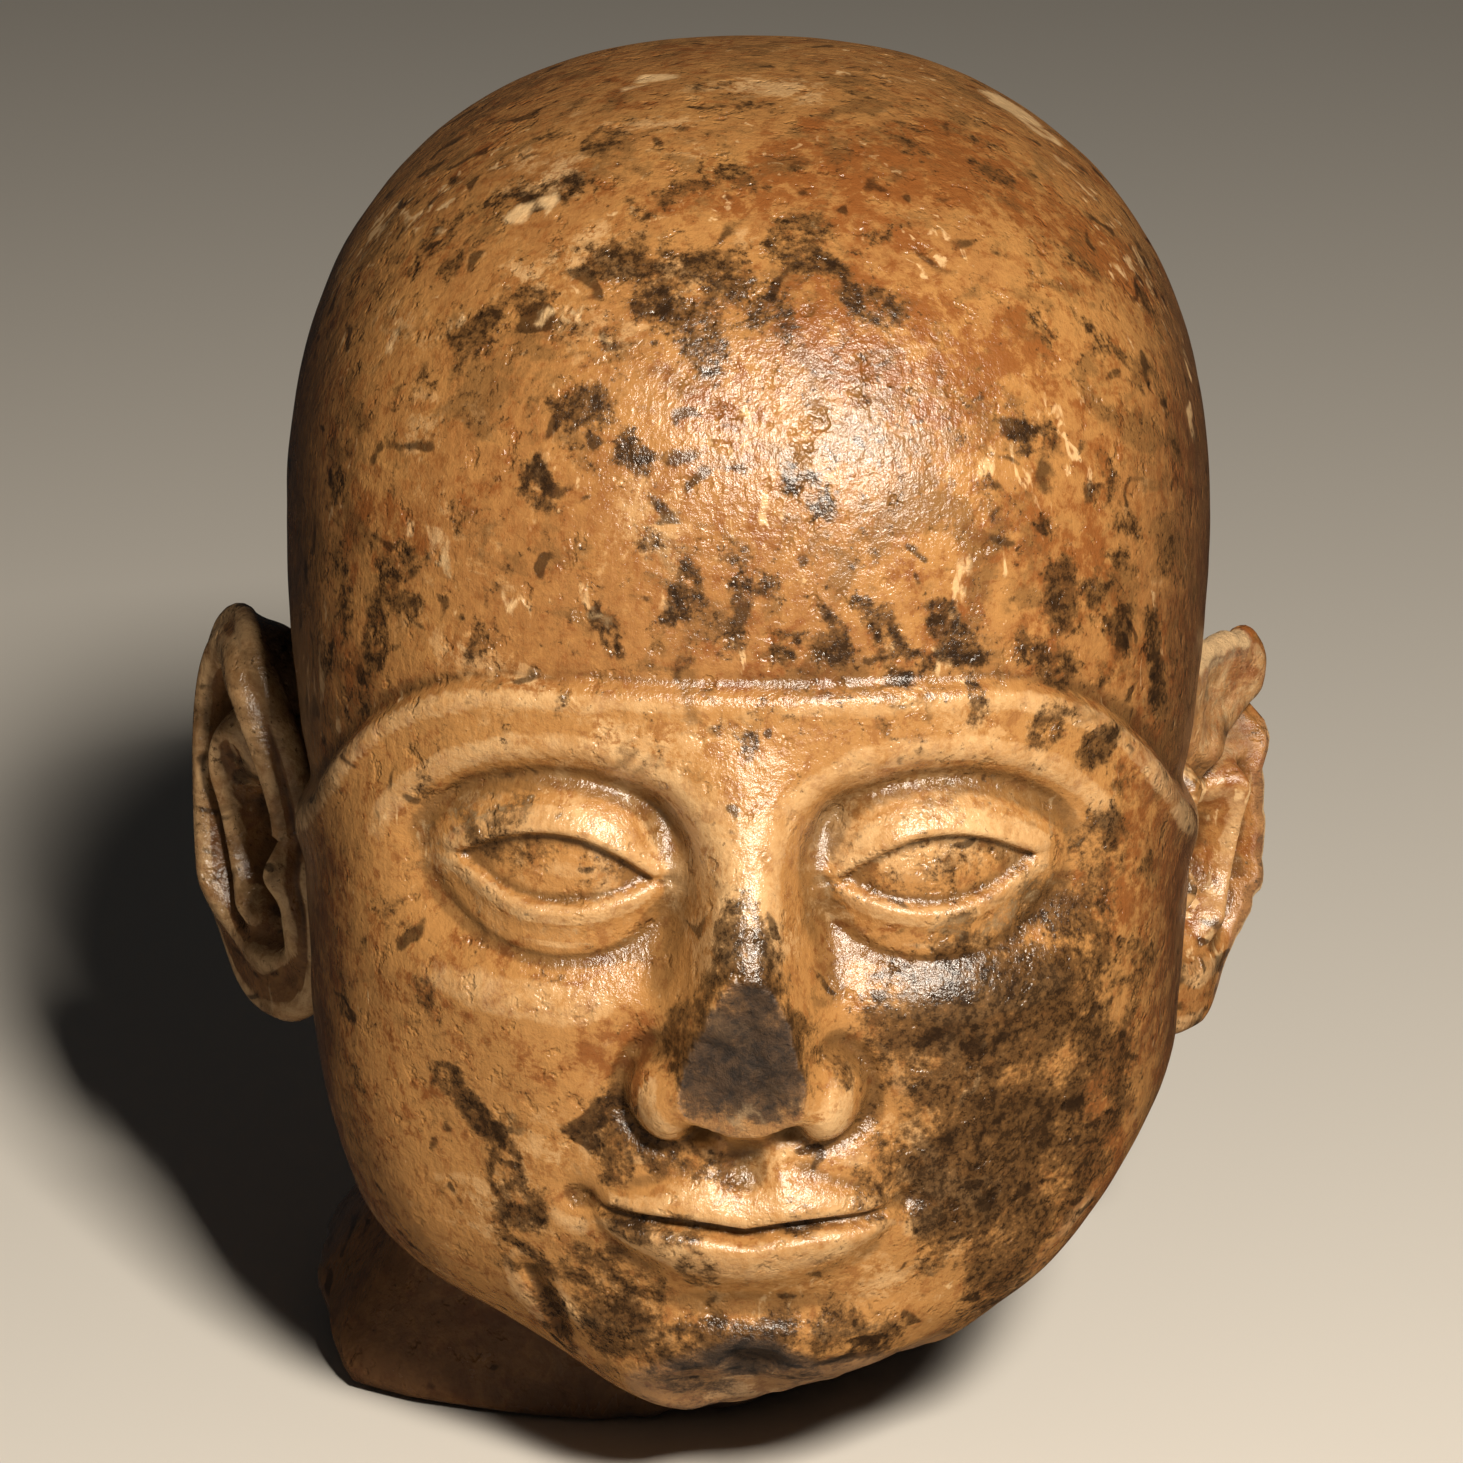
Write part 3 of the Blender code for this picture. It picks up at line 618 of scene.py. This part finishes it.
def add_node(tree, kind, settings=None, links=None):
    """A node with its settings, each an attribute or an input's value, and its links, each to an input."""
    node = tree.nodes.new(kind)
    for key, value in (settings or {}).items():
        if isinstance(key, int) or key in node.inputs:
            node.inputs[key].default_value = value
        else:
            setattr(node, key, value)
    for key, source in (links or {}).items():
        tree.links.new(source, node.inputs[key])
    return node


def four(rgb):
    """A colour with full opacity, as sockets take it."""
    return (*rgb, 1.0)


def polished_limestone(colours):
    """Indurated limestone, rubbed to a polish, stained by iron and manganese and once buried.

    It is hard and fine, so it takes a soft gloss, and its grain breaks the highlight into specks.
    Iron gives ochre, gold and rust. Manganese gives dark blotches, a smoky haze and thin curls along
    cracks. Earth and patina darken the neck, the sides and the left jaw, partly as painted shade, and
    painted shade darkens the left ear and the creases and hollows. What was worn or chipped
    later shows cream.
    """
    material = bpy.data.materials.new("polished_limestone")
    material.use_nodes = True
    tree = material.node_tree
    tree.nodes.clear()
    place = add_node(tree, "ShaderNodeTexCoord").outputs["Object"]
    fields = {}
    for name in ("edge", "hollow", "broken", "stain", "iron", "face", "pale", "earth_and_shade"):
        fields[name] = add_node(tree, "ShaderNodeAttribute", {"attribute_name": name}).outputs["Fac"]

    # Noises: width of their bumps in mm, detail, roughness, warp, and scale along x, y and z, where less
    # than 1 draws them out. Real grit is under 0.2 mm and wouldn't show, so grit, specks and scratches
    # are drawn 1.3 mm wide.
    noises = {
        "clouds": (60, 5, 0.60, 0.4, (1, 1, 1)),
        "wisps": (14, 6, 0.65, 1.2, (1, 1, 1.6)),
        "iron_cloud": (30, 6, 0.66, 0.8, (1, 1, 1)),
        "mottle": (3.4, 5, 0.75, 0.3, (1, 1, 1)),
        "large": (20, 3, 0.60, 1.6, (1, 1, 1)),
        "small": (6.5, 5, 0.72, 1.0, (1, 1, 1)),
        "specks": (1.4, 3, 0.78, 0.0, (1, 1, 1)),
        "veins": (7, 4, 0.60, 0.8, (1, 1, 1.3)),
        "fleck": (2.8, 3, 0.55, 0.5, (1, 1, 0.45)),
        "groups": (32, 2, 0.50, 0.0, (1, 1, 1)),
        "rub": (9, 4, 0.60, 0.0, (1, 1, 1)),
        "grit": (1.3, 4, 0.75, 0.0, (1, 1, 1)),
        "peel": (2.6, 3, 0.65, 0.3, (1, 1, 1)),
        "scratch": (1.3, 3, 0.60, 0.0, (1, 0.6, 0.16)),
        "pit": (4.6, 3, 0.60, 0.0, (1, 1, 1)),
        "crumble": (4.5, 7, 0.78, 0.4, (1, 1, 1)),
    }
    for i, (name, (width, detail, rough_share, warp, stretch)) in enumerate(noises.items()):
        mapped = add_node(
            tree,
            "ShaderNodeMapping",
            {"Scale": stretch, "Location": (0.31 * i, 0.17 * i, -0.23 * i)},
            {"Vector": place},
        )
        settings = {"Scale": 1000 / width, "Detail": detail, "Roughness": rough_share, "Distortion": warp}
        if name == "veins":  # ridges wander as manganese does along fine cracks
            settings["noise_type"] = "RIDGED_MULTIFRACTAL"
        noise = add_node(tree, "ShaderNodeTexNoise", settings, {"Vector": mapped.outputs[0]})
        fields[name] = noise.outputs["Fac"]

    # Sums: a first value, then fields and their weights
    sums = {
        "tan_sum": (0.0, {"clouds": 0.5, "wisps": 0.5, "face": 0.14}),
        "iron_sum": (0.0, {"iron_cloud": 0.6, "mottle": 0.4, "iron": 0.13, "face": -0.06}),
        "blotch": (0.0, {"large": 0.45, "small": 0.55, "specks": 0.55, "stain": 0.37, "broken": 0.10}),
        "haze": (0.0, {"large": 0.5, "wisps": 0.5, "specks": 0.15, "mottle": -0.15, "face": -0.05}),
        "vein_sum": (0.0, {"veins": 1.2, "groups": 0.6, "specks": 0.4, "stain": 0.25, "face": -0.12}),
        "speckle": (0.0, {"specks": 0.9, "small": 0.4, "large": 0.3, "face": -0.03, "stain": 0.16}),
        "fleck_sum": (0.0, {"fleck": 0.8, "groups": 0.5, "pale": 0.10, "face": -0.04}),
        "pale_sum": (0.0, {"pale": 1.0, "small": 0.9, "specks": 0.4}),
        "wear": (0.0, {"edge": 1.0, "small": 1.0, "specks": 0.4}),
        "dirt_and_crease_shade": (0.0, {"hollow": 1.0, "small": 0.6}),
        "earth_and_shade_sum": (0.0, {"earth_and_shade": 1.0, "small": 0.6, "wisps": 0.4}),
        "roughness": (colours.roughness - 0.07, {"rub": 0.14, "broken": colours.dull - colours.roughness}),
        "polish_height": (0.0, {"grit": 0.5, "peel": 0.9, "scratch": 0.35}),
    }
    for name, (total, weights) in sums.items():
        for field, weight in weights.items():
            links = {0: fields[field]}
            settings = {"operation": "MULTIPLY_ADD", 1: weight}
            if isinstance(total, float):
                settings[2] = total
            else:
                links[2] = total
            total = add_node(tree, "ShaderNodeMath", settings, links).outputs[0]
        fields[name] = total

    # Coats of colour, each over the last: field, where it starts and is full, strength, colour
    coats = (
        ("tan_sum", 0.43, 0.60, 0.90, colours.tan),
        ("iron_sum", 0.42, 0.34, 0.50, colours.cream),
        ("iron_sum", 0.50, 0.61, 0.85, colours.rust),
        ("mottle", 0.51, 0.62, 0.50, colours.rust),
        ("mottle", 0.49, 0.38, 0.45, colours.tan),
        ("fleck_sum", 0.785, 0.865, 0.70, colours.cream),
        # Earth and patina, partly painted shade: the neck under the jaw, the sides, the left jaw and the left
        # ear
        ("earth_and_shade_sum", 0.70, 1.45, 0.88, colours.umber),
        # Painted shade in the creases and hollows, partly dirt lodged there, in the manganese dark
        ("dirt_and_crease_shade", 0.45, 1.35, 0.60, colours.dark),
        ("wear", 1.20, 1.75, 0.55, colours.cream),
        ("haze", 0.49, 0.60, 0.58, colours.smoke),
        ("blotch", 0.83, 1.02, 0.82, colours.smoke),
        ("blotch", 0.93, 1.18, 0.60, colours.dark),
        ("vein_sum", 0.75, 1.01, 0.75, colours.dark),
        ("speckle", 0.90, 1.02, 0.60, colours.dark),
        ("pale_sum", 1.05, 1.50, 0.80, colours.cream),
    )
    shade = None
    for field, start, full, strength, tint in coats:
        amount = add_node(
            tree,
            "ShaderNodeMapRange",
            {"interpolation_type": "SMOOTHSTEP", "From Min": start, "From Max": full, "To Max": strength},
            {"Value": fields[field]},
        )
        settings = {"data_type": "RGBA", MIX_UNDER: four(colours.ochre), MIX_OVER: four(tint)}
        links = {MIX_SHARE: amount.outputs[0]}
        if shade is not None:
            links[MIX_UNDER] = shade
        shade = add_node(tree, "ShaderNodeMix", settings, links).outputs[MIX_RESULT]

    # Relief: pits 0.3 mm deep, grain and scratches of 0.1 mm, and crumbs 2 mm high where broken
    pits = add_node(
        tree,
        "ShaderNodeMapRange",
        {"From Min": 0.60, "From Max": 0.70, "To Max": -1.0},
        {"Value": fields["pit"]},
    )
    pitted = add_node(
        tree,
        "ShaderNodeBump",
        {"Strength": 0.8, "Distance": 0.0004},
        {"Height": pits.outputs[0]},
    )
    polish = add_node(
        tree,
        "ShaderNodeBump",
        {"Strength": 1.0, "Distance": 0.0004},
        {"Height": fields["polish_height"], "Normal": pitted.outputs[0]},
    )
    relief = add_node(
        tree,
        "ShaderNodeBump",
        {"Distance": 0.0022},
        {"Height": fields["crumble"], "Strength": fields["broken"], "Normal": polish.outputs[0]},
    )
    shader = add_node(
        tree,
        "ShaderNodeBsdfPrincipled",
        {"IOR": 1.6, "Metallic": 0.0},
        {"Base Color": shade, "Roughness": fields["roughness"], "Normal": relief.outputs[0]},
    )
    add_node(tree, "ShaderNodeOutputMaterial", None, {"Surface": shader.outputs[0]})
    return material


# Stains, rust, gold and pale spots: each its place in mm in the object's frame, reach in mm, strength
STAINS = (
    (41, -84, 98, 10.1, 1), (51, -77, 105, 7.9, 0.9), (34, -86, 90, 7.8, 0.8), (48, -78, 83, 10.2, 1),
    (42, -80, 73, 9.6, 1), (53, -71, 65, 8, 0.9), (44, -74, 55, 8, 0.8), (58, -69, 76, 7, 0.9),
    (32, -86, 79, 5.9, 0.7), (61, -68, 92, 5.3, 0.7), (55, -72, 113, 5.9, 0.6), (44, -79, 115, 4.2, 0.5),
    (43, -67, 42, 5.7, 0.6), (26, -88, 100, 2.6, 0.5), (65, -62, 99, 4, 0.6), (35, -85, 111, 3.6, 0.5),
    (39, -80, 65, 6.6, 1), (-48, -78, 83, 2.3, 0.9), (-44, -80, 76, 3, 1), (-40, -81, 70, 3, 0.9),
    (-37, -80, 61, 3.3, 0.9), (-36, -77, 51, 3.3, 0.9), (-33, -75, 43, 2.7, 0.8), (-52, -77, 97, 2.3, 0.6),
    (-24, -87, 80, 2.9, 0.8), (-20, -88, 75, 3.3, 0.9), (-13, -90, 76, 2.9, 0.9), (-7, -92, 75, 2.6, 0.8),
    (-20, -87, 86, 2.3, 0.7), (-57, -72, 107, 2.6, 0.5), (-67, -58, 90, 2.7, 0.6), (-66, -59, 79, 3, 0.6),
    (9, -101, 91, 2.6, 0.6), (19, -86, 82, 2.3, 0.6), (15, -95, 93, 1.9, 0.7), (23, -87, 72, 2, 0.6),
    (-1, -103, 115, 4.5, 0.9), (-2, -104, 107, 5.4, 1), (-1, -102, 98, 5.4, 1),
    (-1, -101, 91, 3.5, 0.9), (-10, -96, 97, 3.2, 0.8), (9, -99, 98, 3.5, 0.8), (-7, -100, 93, 2.9, 0.9),
    (5, -102, 93, 2.6, 1), (0, -90, 145, 1.4, 0.7), (-2, -96, 131, 1.4, 0.5), (-16, -90, 65, 2.6, 0.8),
    (-9, -94, 63, 2.3, 0.8), (9, -92, 64, 2.5, 0.8), (20, -91, 67, 2.5, 0.6), (-24, -85, 56, 3.3, 0.8),
    (-17, -85, 52, 3, 0.7), (-27, -80, 47, 3.3, 0.7), (-7, -93, 56, 2.3, 0.6), (-21, -82, 41, 4.3, 0.9),
    (-9, -86, 39, 4.3, 0.9), (2, -86, 39, 4.6, 0.9), (16, -84, 38, 4.3, 0.9), (23, -80, 39, 2.7, 0.8),
    (-31, -71, 35, 3, 0.8), (-42, -79, 125, 3.2, 0.7), (-36, -82, 129, 2.6, 0.6),
    (-30, -84, 126, 2.3, 0.5), (-50, -70, 131, 2, 0.6), (-48, -72, 135, 2, 0.5),
    (29, -85, 126, 2.9, 0.4), (37, -81, 150, 2.6, 0.8), (47, -76, 145, 2.6, 0.8), (56, -70, 140, 2.9, 0.9),
    (61, -66, 132, 2.3, 0.7), (57, -69, 122, 3, 0.7), (65, -62, 115, 2.6, 0.7), (56, -70, 117, 2.3, 0.6),
    (31, -84, 150, 1.9, 0.5), (-30, -84, 151, 1.6, 0.4), (-11, -62, 212, 5.8, 1),
    (-18, -56, 216, 3.9, 0.9), (-7, -69, 206, 3.8, 0.9), (3, -65, 210, 2.9, 0.8), (-15, -46, 223, 2.9, 0.8),
    (-10, -46, 224, 2, 0.7), (-31, -38, 223, 3.3, 0.8), (-38, -32, 222, 2.3, 0.6),
    (-25, -28, 228, 3, 0.7), (-31, -20, 228, 2, 0.6), (-25, -72, 196, 2.9, 1),
    (-19, -77, 190, 2.5, 1), (-24, -77, 187, 1.6, 0.8), (-28, -74, 191, 1.6, 0.6),
    (-33, -76, 183, 2.6, 0.9), (-37, -72, 187, 1.6, 0.6), (-46, -57, 200, 3.2, 0.8),
    (-42, -56, 205, 2.6, 0.7), (-50, -56, 196, 2, 0.6), (-53, -36, 209, 2.6, 0.7),
    (-50, -32, 214, 2.6, 0.7), (-46, -42, 213, 2.3, 0.7), (-54, -54, 192, 2, 0.6),
    (-34, -57, 210, 2.3, 0.6), (-67, -18, 200, 1.7, 0.5), (-57, -59, 180, 1.6, 0.5),
    (8, -53, 219, 3.2, 0.9), (13, -58, 215, 2.9, 0.9), (20, -63, 210, 2.6, 0.9), (21, -51, 219, 1.9, 0.7),
    (15, -68, 206, 1.9, 0.7), (18, -60, 213, 1.6, 0.7), (11, -80, 186, 2.9, 0.9), (16, -79, 187, 1.6, 0.7),
    (45, -65, 189, 2.9, 0.7), (56, -59, 181, 2.9, 0.7), (61, -56, 173, 2.3, 0.6), (58, -44, 197, 3, 0.7),
    (54, -45, 202, 2, 0.6), (65, -21, 201, 2.7, 0.8), (51, -36, 211, 2.3, 0.7), (42, -24, 223, 3, 0.8),
    (39, -16, 226, 2.3, 0.7), (31, -36, 223, 1.6, 0.6), (47, -52, 204, 2, 0.5), (28, -29, 227, 2, 0.6),
    (-4, -41, 226, 2.3, 0.7), (2, -44, 225, 1.4, 0.6), (2, -15, 234, 1.7, 0.6), (-8, -10, 234, 1.7, 0.5),
    (19, -7, 233, 1.7, 0.5), (68, -34, 187, 2, 0.5), (71, -35, 177, 2, 0.6), (25, -50, 218, 1.4, 0.6),
    (-9, -85, 170, 2.2, 1), (-12, -85, 166, 1.6, 0.9), (2, -85, 170, 2.1, 1), (-1, -84, 175, 1.6, 0.8),
    (-22, -84, 161, 1.8, 0.9), (-4, -86, 161, 1.6, 0.8), (18, -83, 172, 1.4, 0.9), (31, -81, 164, 2.1, 1),
    (22, -84, 161, 2.4, 1), (13, -85, 160, 2.1, 0.9), (7, -86, 160, 1.9, 0.9), (34, -80, 158, 2.6, 1),
    (42, -75, 161, 2.7, 1), (51, -69, 165, 3.2, 0.9), (56, -63, 167, 2.9, 0.8), (60, -61, 157, 2.8, 0.9),
    (49, -72, 155, 2.8, 1), (66, -52, 151, 2.5, 0.9), (68, -46, 163, 2.3, 0.7), (67, -52, 143, 2.6, 0.9),
    (56, -66, 150, 2.3, 0.8), (40, -75, 172, 1.9, 0.7), (45, -71, 175, 1.9, 0.6), (38, -73, 184, 1.4, 0.5),
    (26, -83, 158, 1.9, 0.9), (-15, -83, 175, 1.4, 0.7), (-7, -81, 186, 1.4, 0.6),
    (-16, -81, 183, 1.4, 0.5), (-57, -63, 164, 2.9, 0.9), (-54, -64, 169, 2.1, 0.8),
    (-60, -61, 154, 2.8, 0.8), (-53, -67, 162, 2.6, 0.9), (-65, -51, 163, 2.3, 0.6),
    (-67, -45, 173, 2, 0.6), (-65, -53, 156, 2.3, 0.7), (-43, -76, 158, 1.9, 0.7),
    (-69, -47, 148, 2.3, 0.6), (-50, -69, 170, 1.6, 0.6), (-71, -33, 180, 1.7, 0.5),
    (-47, -73, 159, 1.9, 0.7), (-62, -59, 143, 2.3, 0.6),
)
IRON = (
    (23, -28, 228, 11.6, 1), (-10, -38, 227, 9.8, 0.9), (42, -62, 198, 9.7, 0.8),
    (49, -68, 176, 8.1, 0.7), (2, -67, 208, 9.6, 0.6), (-18, -24, 231, 8.3, 0.7), (24, -67, 204, 8, 0.7),
    (59, -22, 210, 8.4, 0.7), (12, -40, 226, 9.8, 0.9), (-44, -43, 213, 8.2, 0.5), (-8, -79, 191, 9.5, 0.3),
    (54, -67, 156, 8.1, 0.5), (-43, -82, 106, 6.5, 0.5), (-50, -75, 75, 6.6, 0.5), (-20, -88, 94, 6.5, 0.6),
    (19, -88, 79, 4.9, 0.6), (63, -63, 71, 8.4, 0.6), (-30, -62, 206, 6.4, 0.5), (-60, -58, 170, 6.5, 0.4),
)
GOLD = (
    (-34, -55, 205, 14, 1), (-52, -50, 190, 12, 1), (-22, -76, 183, 9, 0.8), (-60, -52, 168, 8, 0.7),
    (-8, -58, 214, 8, 0.8), (2, -20, 233, 12, 1), (-40, -74, 158, 9, 0.6), (30, -60, 210, 7, 0.6),
    (-20, -30, 228, 12, 1),
)
PALE = (
    (45, 19, 225, 4.5, 1), (50, 13, 222, 3.1, 0.9), (53, 0, 219, 2, 0.7), (42, 24, 226, 2.4, 0.8),
    (74, -13, 187, 2, 1), (74, -21, 181, 1.7, 0.8), (-57, -45, 198, 2.3, 0.9),
    (-66, -36, 192, 2, 0.9), (-67, -29, 194, 1.4, 0.8), (-53, -64, 175, 1.9, 0.8),
    (-50, -68, 173, 1.6, 0.7), (-33, -40, 221, 2.3, 1), (-37, -41, 218, 1.6, 0.8),
    (-51, -31, 214, 1.4, 0.7), (-16, 0, 234, 2.4, 1), (-20, -4, 233, 1.7, 0.8), (-32, -62, 206, 1.6, 0.8),
    (-29, -62, 207, 1.4, 0.8), (-26, -60, 211, 1.4, 0.6), (-39, -77, 165, 1.4, 0.7),
    (-43, -65, 192, 1.4, 0.5), (-31, -70, 197, 1.4, 0.5), (-24, -83, 164, 1.4, 0.5),
    (-54, -58, 187, 1.4, 0.6), (-8, -52, 220, 1.4, 0.5), (-68, -39, 181, 1.4, 0.6),
    (-50, -69, 170, 1.4, 0.7), (71, -12, 194, 1.5, 0.7), (69, 6, 202, 1.5, 0.6), (-76, -10, 181, 1.4, 0.6),
    (-32, 8, 231, 1.7, 0.7), (0, -101, 84, 2.9, 0.7), (-4, -100, 85, 2.3, 0.5), (31, -81, 55, 3.6, 0.4),
    (6, -86, 48, 2, 0.5),
)


def spots(points, listed):
    """The highest of plateaus round the listed places, in mm, each sunk in its middle.

    The points are first shifted by bumps 8 and 3.5 mm wide, so that no spot is round. Each is stretched
    along a direction that turns by 2.4 radians from one to the next, and every other one is a ring.
    """
    shift = [2.6 * grain(points, 8, seed) + 1.3 * grain(points, 3.5, seed + 3) for seed in (51, 52, 53)]
    points = points + np.stack(shift, axis=-1)
    total = np.zeros(len(points))
    for i, (x, y, z, reach, strength) in enumerate(listed):
        away = points - [x, y, z]
        along = away @ [math.cos(2.4 * i), 0, math.sin(2.4 * i)]
        distance = np.sqrt(np.maximum((away**2).sum(axis=1) - 0.6 * along**2, 0)) / reach
        sunk = (0.15 + 0.45 * (i % 2)) * (1 - ease(0.35, 1.0, distance))
        total = np.maximum(total, strength * (1 - ease(0.7, 2.0, distance)) * (1 - sunk))
    return total


def stone_piece(name, shape, size, material):
    """A piece of the head, from parts to metres over the flat underside, with its wear, stains and painted
    shade as attributes.
    """
    points, rings, count, broken, pale, earth_and_shade = shape
    scale = np.array([size.cap_width / PARTS_WIDE, size.depth / PARTS_DEEP, size.height / PARTS_HIGH])
    placed = (points - [0, 0, floor_height(size)]) * scale
    mm = placed * 1000
    sharp = bending(rings, count, mm, 2)
    wide = bending(rings, count, mm, 10)
    near_break = spread_out(rings, count, broken, 4)
    x, y, z = points.T
    on_face = ease(-1.5, 2.5, -above(CAP_EDGE, np.clip(np.abs(x), 0.3, 78.5), z)) * (1 - ease(-14, 2, y))
    outside_eye = from_lids(np.abs(x), z)[-1]
    in_front = on_face * (y < -50)
    eyeball = 0.32 * (1 - ease(-3.5, 1, outside_eye)) * in_front
    lids = 0.42 * ease(-1, 3, outside_eye) * (1 - ease(5, 16, outside_eye)) * in_front
    face_sides = 0.8 * on_face * ease(40, 74, np.abs(x) + 0.3 * np.maximum(60 - z, 0))
    shares = {
        "edge": np.maximum(0.7 * ease(0.08, 0.35, sharp), 0.8 * ease(0.015, 0.08, wide)) * (1 - near_break),
        # Painted shade: dark in the creases and hollows, partly dirt lodged there
        "hollow": np.maximum(ease(0.05, 0.35, -sharp), 0.8 * ease(0.015, 0.10, -wide)) * (1 - broken),
        "broken": broken,
        "stain": np.maximum(spots(mm, STAINS), eyeball),
        "iron": np.maximum(spots(mm, IRON), face_sides) - 0.9 * spots(mm, GOLD),
        "pale": np.maximum(np.maximum(spots(mm, PALE), pale), lids),
        "face": on_face,
        "earth_and_shade": earth_and_shade,
    }
    mesh = bpy.data.meshes.new(name)
    mesh.from_pydata(placed.tolist(), [], ring_faces(rings, count))
    for key, values in shares.items():
        mesh.attributes.new(key, "FLOAT", "POINT").data.foreach_set("value", values.astype(np.float32))
    mesh.shade_smooth()
    mesh.calc_loop_triangles()
    corners = np.empty(3 * len(mesh.loop_triangles), np.int32)
    mesh.loop_triangles.foreach_get("vertices", corners)
    if np.linalg.det(placed[corners.reshape(-1, 3)]).sum() < 0:
        mesh.flip_normals()
    mesh.materials.append(material)
    piece = bpy.data.objects.new(name, mesh)
    bpy.context.scene.collection.objects.link(piece)
    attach(piece, "root")
    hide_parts("head")
    return piece


def stone_of(context):
    """The stone's material, made once."""
    return bpy.data.materials.get("polished_limestone") or polished_limestone(context.scene.head_stone)


class MESH_OT_carved_head(bpy.types.Operator):
    """Carve the head, cap, face and broken neck"""

    bl_idname = "mesh.carved_head"
    bl_label = "Carved Head"

    def execute(self, context):
        size = context.scene.head_sizes
        stone_piece("carved_head", head_shape(size), size, stone_of(context))
        return {"FINISHED"}


class MESH_OT_carved_ears(bpy.types.Operator):
    """Carve both ears, one with its rim broken"""

    bl_idname = "mesh.carved_ears"
    bl_label = "Carved Ears"

    def execute(self, context):
        size = context.scene.head_sizes
        for name, side in (("whole_ear", -1), ("chipped_ear", 1)):
            stone_piece(name, ear_shape(size, side), size, stone_of(context))
        return {"FINISHED"}


def aimed(obj, place, target):
    """Stand obj at place, looking at target."""
    obj.location = place
    obj.rotation_euler = (Vector(target) - Vector(place)).to_track_quat("-Z", "Y").to_euler()
    return obj


class SCENE_OT_pale_stage(bpy.types.Operator):
    """Add the pale floor, the soft lights and the camera"""

    bl_idname = "scene.pale_stage"
    bl_label = "Pale Stage"

    def execute(self, context):
        stage = context.scene.head_stage
        link = context.scene.collection.objects.link
        mesh = bpy.data.meshes.new("floor")
        mesh.from_pydata([(-6, -6, 0), (6, -6, 0), (6, 6, 0), (-6, 6, 0)], [], [(0, 1, 2, 3)])
        card = bpy.data.materials.new("matt_card")  # plain card, too dull to mirror anything
        card.use_nodes = True
        shader = card.node_tree.nodes["Principled BSDF"]
        shader.inputs["Base Color"].default_value = four(stage.floor)
        shader.inputs["Roughness"].default_value = 0.9
        mesh.materials.append(card)
        floor = bpy.data.objects.new("floor", mesh)
        # Kept out of reflections, which would lighten the shaded sides of the polished stone
        floor.visible_glossy = False
        link(floor)

        world = bpy.data.worlds.new("studio")
        world.use_nodes = True
        sky = world.node_tree.nodes["Background"]
        sky.inputs["Color"].default_value = four(linear("#FFFFFF"))
        sky.inputs["Strength"].default_value = stage.sky
        context.scene.world = world
        aim = (0.0, 0.0, 0.12)
        for name, place, width, watts, hex_colour in (
            ("key", (0.34, -1.10, 0.96), 0.22, stage.key, "#FFF3E2"),
            ("fill", (-1.3, -0.9, 0.5), 1.2, stage.fill, "#FFEBD2"),
        ):
            lamp = bpy.data.lights.new(name, "AREA")
            lamp.shape = "SQUARE"
            lamp.size = width
            lamp.energy = watts
            lamp.color = linear(hex_colour)
            link(aimed(bpy.data.objects.new(name, lamp), place, aim))

        camera = bpy.data.cameras.new("camera")
        eye = bpy.data.objects.new("camera", camera)
        link(eye)
        target = Vector((0.0, 0.0, 0.115))
        e = stage.elevation
        back = Vector((0, -math.cos(e), math.sin(e)))
        eye.location = target + back * stage.distance
        turn = (-back).to_track_quat("-Z", "Y").to_matrix() @ Matrix.Rotation(stage.roll, 3, "Z")
        eye.rotation_euler = turn.to_euler()
        camera.sensor_width = 36
        camera.lens = camera.sensor_width * FOCAL_LENGTH / PICTURE_WIDTH
        camera.shift_x = (PICTURE_WIDTH / 2 - AHEAD[0]) / PICTURE_WIDTH
        camera.shift_y = (AHEAD[1] - PICTURE_WIDTH / 2) / PICTURE_WIDTH
        camera.clip_start, camera.clip_end = 0.05, 50
        context.scene.camera = eye
        context.scene.view_settings.view_transform = "Standard"
        return {"FINISHED"}


class VIEW3D_PT_stone_head(bpy.types.Panel):
    """Settings and steps of the stone head"""

    bl_idname = "VIEW3D_PT_stone_head"
    bl_label = "Stone Head"
    bl_space_type = "VIEW_3D"
    bl_region_type = "UI"
    bl_category = "Stone Head"

    def draw(self, context):
        for title, group, operators in (
            ("Sizes", context.scene.head_sizes, (MESH_OT_carved_head, MESH_OT_carved_ears)),
            ("Stone", context.scene.head_stone, ()),
            ("Stage", context.scene.head_stage, (SCENE_OT_pale_stage,)),
        ):
            box = self.layout.box()
            box.label(text=title)
            for key in group.__annotations__:
                box.prop(group, key)
            for operator in operators:
                box.operator(operator.bl_idname)


CLASSES = (
    HeadSettings,
    StoneSettings,
    StageSettings,
    MESH_OT_carved_head,
    MESH_OT_carved_ears,
    SCENE_OT_pale_stage,
    VIEW3D_PT_stone_head,
)


def register():
    for cls in CLASSES:
        bpy.utils.register_class(cls)
    bpy.types.Scene.head_sizes = PointerProperty(type=HeadSettings)
    bpy.types.Scene.head_stone = PointerProperty(type=StoneSettings)
    bpy.types.Scene.head_stage = PointerProperty(type=StageSettings)


def unregister():
    for key in ("head_sizes", "head_stone", "head_stage"):
        delattr(bpy.types.Scene, key)
    for cls in reversed(CLASSES):
        bpy.utils.unregister_class(cls)


def main():
    register()
    bpy.ops.mesh.carved_head()
    bpy.ops.mesh.carved_ears()
    bpy.ops.scene.pale_stage()


if __name__ == "__main__":
    main()
